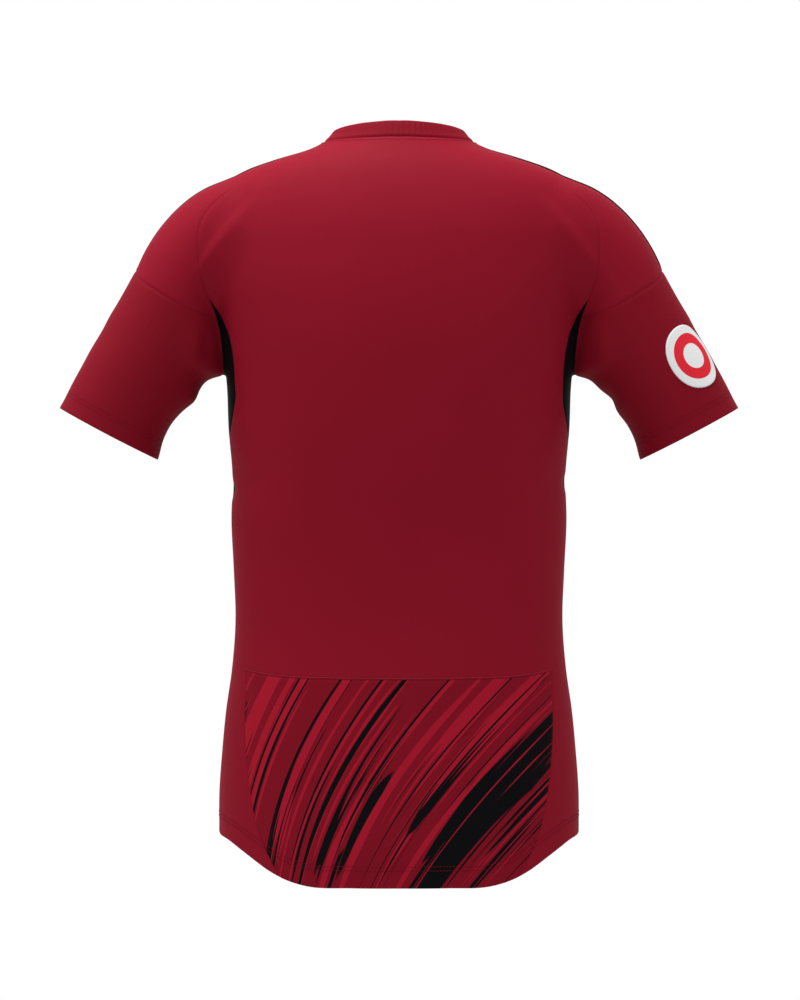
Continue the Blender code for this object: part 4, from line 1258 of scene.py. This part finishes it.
def knit_material(name, colour, shade):
    """Fine knit: columns of stitches, a little uneven in colour, with painted shade in the hollows
    between its loops.
    """
    n = Nodes(name, colour, KNIT_ROUGHNESS)
    tint = [min(1.0, SHEEN_LIGHTER * c) for c in colour]
    n.shader.inputs["Sheen Weight"].default_value = SHEEN
    n.shader.inputs["Sheen Roughness"].default_value = SHEEN_ROUGHNESS
    n.shader.inputs["Sheen Tint"].default_value = (*tint, 1.0)
    place = n.add("UVMap", {"uv_map": "cloth"}).outputs[0]
    split = n.add("SeparateXYZ", Vector=place)
    u = n.math("MULTIPLY", split.outputs[0], 2 * math.pi / (WALE * MM))
    v = n.math("MULTIPLY", split.outputs[1], 2 * math.pi / (COURSE * MM))
    column = n.math("ABSOLUTE", n.math("SINE", n.math("MULTIPLY", u, 0.5)))
    leaning = n.math("ADD", v, n.math("MULTIPLY", column, KNIT_LEAN))
    loop = n.math("MULTIPLY_ADD", n.math("SINE", leaning), 0.5, 0.5)
    loop = n.math("MULTIPLY_ADD", loop, KNIT_LOOP, 1 - KNIT_LOOP)
    height = n.math("MULTIPLY", column, loop)
    bump = n.add("Bump", Strength=KNIT_BUMP, Distance=KNIT_DEPTH * MM, Height=height)
    n.link(bump.outputs[0], "Normal")
    body = n.add("TexCoord").outputs["Object"]
    cloudy = n.add("TexNoise", Vector=body, Scale=CLOUD_SCALE, Detail=3.0).outputs[0]
    yarn = n.add("TexNoise", Vector=place, Scale=YARN_SCALE, Detail=2.0).outputs[0]
    tone_and_hollow_shade = n.math("MULTIPLY_ADD", cloudy, CLOUD_SHARE, n.math("MULTIPLY", yarn, YARN_SHARE))
    # painted shade: the colour darkens where the loops sink, on top of the uneven tone
    tone_and_hollow_shade = n.math("MULTIPLY_ADD", height, HOLLOW_SHADE_SHARE, tone_and_hollow_shade)
    n.colour = n.mix(n.above(tone_and_hollow_shade, SHADE_MIDDLE, SHADE_SOFT), shade, colour)
    n.link(n.colour, "Base Color")
    return n


def printed_material(name):
    """The knit with a print of plain tapered blades that fan out upwards."""
    n = knit_material(name, PRINT_RED, PRINT_SHADE)
    split = n.add("SeparateXYZ", Vector=n.add("TexCoord").outputs["Object"])
    x, z = split.outputs[0], split.outputs[2]
    rise = n.math("SUBTRACT", z, PRINT_FAN[1] * MM)
    sweep = n.math("MULTIPLY", n.math("MULTIPLY", rise, rise), PRINT_SWEEP)
    from_fan = n.math("SUBTRACT", n.math("ADD", x, sweep), PRINT_FAN[0] * MM)
    ray = n.math("DIVIDE", from_fan, rise)
    up = n.math("DIVIDE", n.math("SUBTRACT", z, PRINT_FOOT * MM), PRINT_TALL * MM)
    colour = n.colour
    for scale, seed, limit, widest, blade in PRINT_LAYERS:
        along = n.math("MULTIPLY", up, PRINT_ALONG)
        place = n.add("CombineXYZ", X=n.math("MULTIPLY", ray, scale), Y=along, Z=seed)
        wave = n.add("TexNoise", Vector=place.outputs[0], Scale=1.0, Detail=2.0).outputs[0]
        off = n.math("ABSOLUTE", n.math("SUBTRACT", up, widest))
        wave = n.math("SUBTRACT", wave, n.math("MULTIPLY", off, PRINT_LEAN))
        colour = n.mix(n.above(wave, limit, PRINT_EDGE), colour, blade)
    n.link(colour, "Base Color")
    return n


def patch_material():
    """White twill with one red ring."""
    n = Nodes("white_twill", PATCH_WHITE, PATCH_ROUGHNESS)
    place = n.add("UVMap", {"uv_map": "cloth"}).outputs[0]
    split = n.add("SeparateXYZ", Vector=place)
    radius = n.add("VectorMath", {"operation": "LENGTH"}, i0=place).outputs["Value"]
    slant = n.math("ADD", split.outputs[0], split.outputs[1])
    rib = n.math("SINE", n.math("MULTIPLY", slant, 2 * math.pi / (TWILL * MM)))
    bump = n.add("Bump", Strength=TWILL_BUMP, Distance=TWILL_DEPTH * MM, Height=rib)
    n.link(bump.outputs[0], "Normal")
    inside = n.above(radius, PATCH_RING_INNER * MM, PATCH_RING_SOFT * MM)
    outside = n.above(radius, PATCH_RING_OUTER * MM, PATCH_RING_SOFT * MM)
    ring = n.math("SUBTRACT", inside, outside)
    n.link(n.mix(ring, PATCH_WHITE, PATCH_RED), "Base Color")
    return n


def add_camera():
    """The camera behind the jersey, at its middle height, as in the photo."""
    data = bpy.data.cameras.new("camera")
    data.lens = CAMERA_LENS
    data.sensor_width = CAMERA_SENSOR
    data.clip_end = CAMERA_END
    camera = bpy.data.objects.new("camera", data)
    camera.location = CAMERA_PLACE
    camera.rotation_euler = (math.pi / 2, 0.0, math.pi)
    bpy.context.scene.collection.objects.link(camera)
    bpy.context.scene.camera = camera


def add_light(name, place, aim, size, power):
    """A round soft white light."""
    data = bpy.data.lights.new(name, "AREA")
    data.shape = "DISK"
    data.size = size
    data.energy = power
    light = bpy.data.objects.new(name, data)
    light.location = place
    way = Vector(aim) - Vector(place)
    light.rotation_euler = way.to_track_quat("-Z", "Y").to_euler()
    bpy.context.scene.collection.objects.link(light)


def add_floor():
    """A plain pale round floor, well below the jersey."""
    turn = np.linspace(0, 2 * math.pi, FLOOR_SIDES, endpoint=False)
    ring = np.stack((np.cos(turn), np.sin(turn), np.zeros(FLOOR_SIDES)), axis=1) * FLOOR_RADIUS
    vertices = (ring + np.array((0.0, 0.0, FLOOR_HEIGHT))) * MM
    mesh = bpy.data.meshes.new("floor")
    mesh.from_pydata(vertices.tolist(), [], [tuple(range(FLOOR_SIDES))])
    floor = bpy.data.objects.new("floor", mesh)
    mesh.materials.append(Nodes("pale_floor", FLOOR_GREY, FLOOR_ROUGHNESS).material)
    bpy.context.scene.collection.objects.link(floor)


def add_studio():
    """White behind the jersey, even light from all round, and the lights."""
    scene = bpy.context.scene
    scene.view_settings.view_transform = "Standard"
    world = bpy.data.worlds.new("studio")
    world.use_nodes = True
    scene.world = world
    tree = world.node_tree
    ambient = tree.nodes["Background"]
    ambient.inputs[0].default_value = WHITE
    ambient.inputs[1].default_value = AMBIENT
    white = tree.nodes.new("ShaderNodeBackground")
    white.inputs[0].default_value = WHITE
    white.inputs[1].default_value = 1.0
    ray = tree.nodes.new("ShaderNodeLightPath")
    mix = tree.nodes.new("ShaderNodeMixShader")
    tree.links.new(ray.outputs["Is Camera Ray"], mix.inputs[0])
    tree.links.new(ambient.outputs[0], mix.inputs[1])
    tree.links.new(white.outputs[0], mix.inputs[2])
    tree.links.new(mix.outputs[0], tree.nodes["World Output"].inputs[0])
    for light in LIGHTS:
        add_light(*light)


def main():
    """Makes the stage, the cloth, its stitches and the dark shoulder lines."""
    add_camera()
    add_floor()
    add_studio()
    knit = knit_material("red_knit_fine", RED, RED_SHADE).material
    sleeve = knit_material("dark_red_knit_fine", SLEEVE_RED, SLEEVE_SHADE).material
    black = knit_material("black_knit_fine", BLACK, BLACK_SHADE).material
    rib = knit_material("red_rib_fine", SLEEVE_RED, SLEEVE_SHADE).material
    printed = printed_material("dark_red_print_fine").material
    thread = Nodes("red_thread", THREAD_RED, THREAD_ROUGHNESS).material
    hem_thread = Nodes("dark_red_thread", HEM_THREAD, THREAD_ROUGHNESS).material
    cuff_thread = Nodes("cuff_thread", CUFF_THREAD, THREAD_ROUGHNESS).material
    light_thread = Nodes("light_red_thread", THREAD_LIGHT, THREAD_ROUGHNESS).material

    seams = side_seams()
    under = underarm()
    hem = seam(HEM_BACK, HEM_PLACES)
    side_hem = onto(np.linspace(seams["side_back"][0], seams["side_front"][0], SIDE_HEM_PLACES))
    FREE_EDGES.extend(mirrored_row(hem))
    FREE_EDGES.extend(mirrored_row(seam(HEM_FRONT, HEM_PLACES)))
    for line in (side_hem, cuff(CUFF_PLACES)):
        FREE_EDGES.extend(line)
        FREE_EDGES.extend(other_side(line))

    print_seam = make_back(seams, hem, knit, printed)
    front_hem = make_front(seams, knit)
    for name, side in SIDES:
        make_insert("side_insert_" + name, side, seams, under, black)
        make_sleeve(name, side, seams, under, knit, sleeve)
    loop = join(mirrored_row(seams["neck_front"])[::-1], mirrored_row(seams["neck_back"]))
    make_collar(loop, rib)
    make_patch(patch_material().material)

    neck = stitch_line(even(loop, NECK_PLACES), -NECK_LINE, closed=True)
    make_stitches("neck_stitches", [neck], thread)
    along_print = stitch_line(print_seam, PRINT_LINE)
    make_stitches("print_stitches", [along_print], light_thread)
    edge = join(mirrored_row(hem), other_side(side_hem), front_hem[::-1], side_hem[::-1])
    edge = even(edge, EDGE_PLACES)
    rows = [stitch_line(edge, away, closed=True) for away in HEM_LINES]
    make_stitches("hem_stitches", rows, hem_thread)
    for name, side in SIDES:
        end = even(cuff(CURVE_STEPS), CUFF_PLACES) * np.array((side, 1.0, 1.0))
        rows = [stitch_line(end, -side * away, closed=True) for away in CUFF_LINES]
        make_stitches("cuff_stitches_" + name, rows, cuff_thread)
    # the dark shoulder lines: black cords, partly painted shade along the shoulders' edges
    dark_line_material = Nodes("black_shoulder_line", BLACK, DARK_LINE_ROUGHNESS).material
    for name, side in SIDES:
        make_dark_line("shoulder_dark_line_" + name, side, dark_line_material)


main()
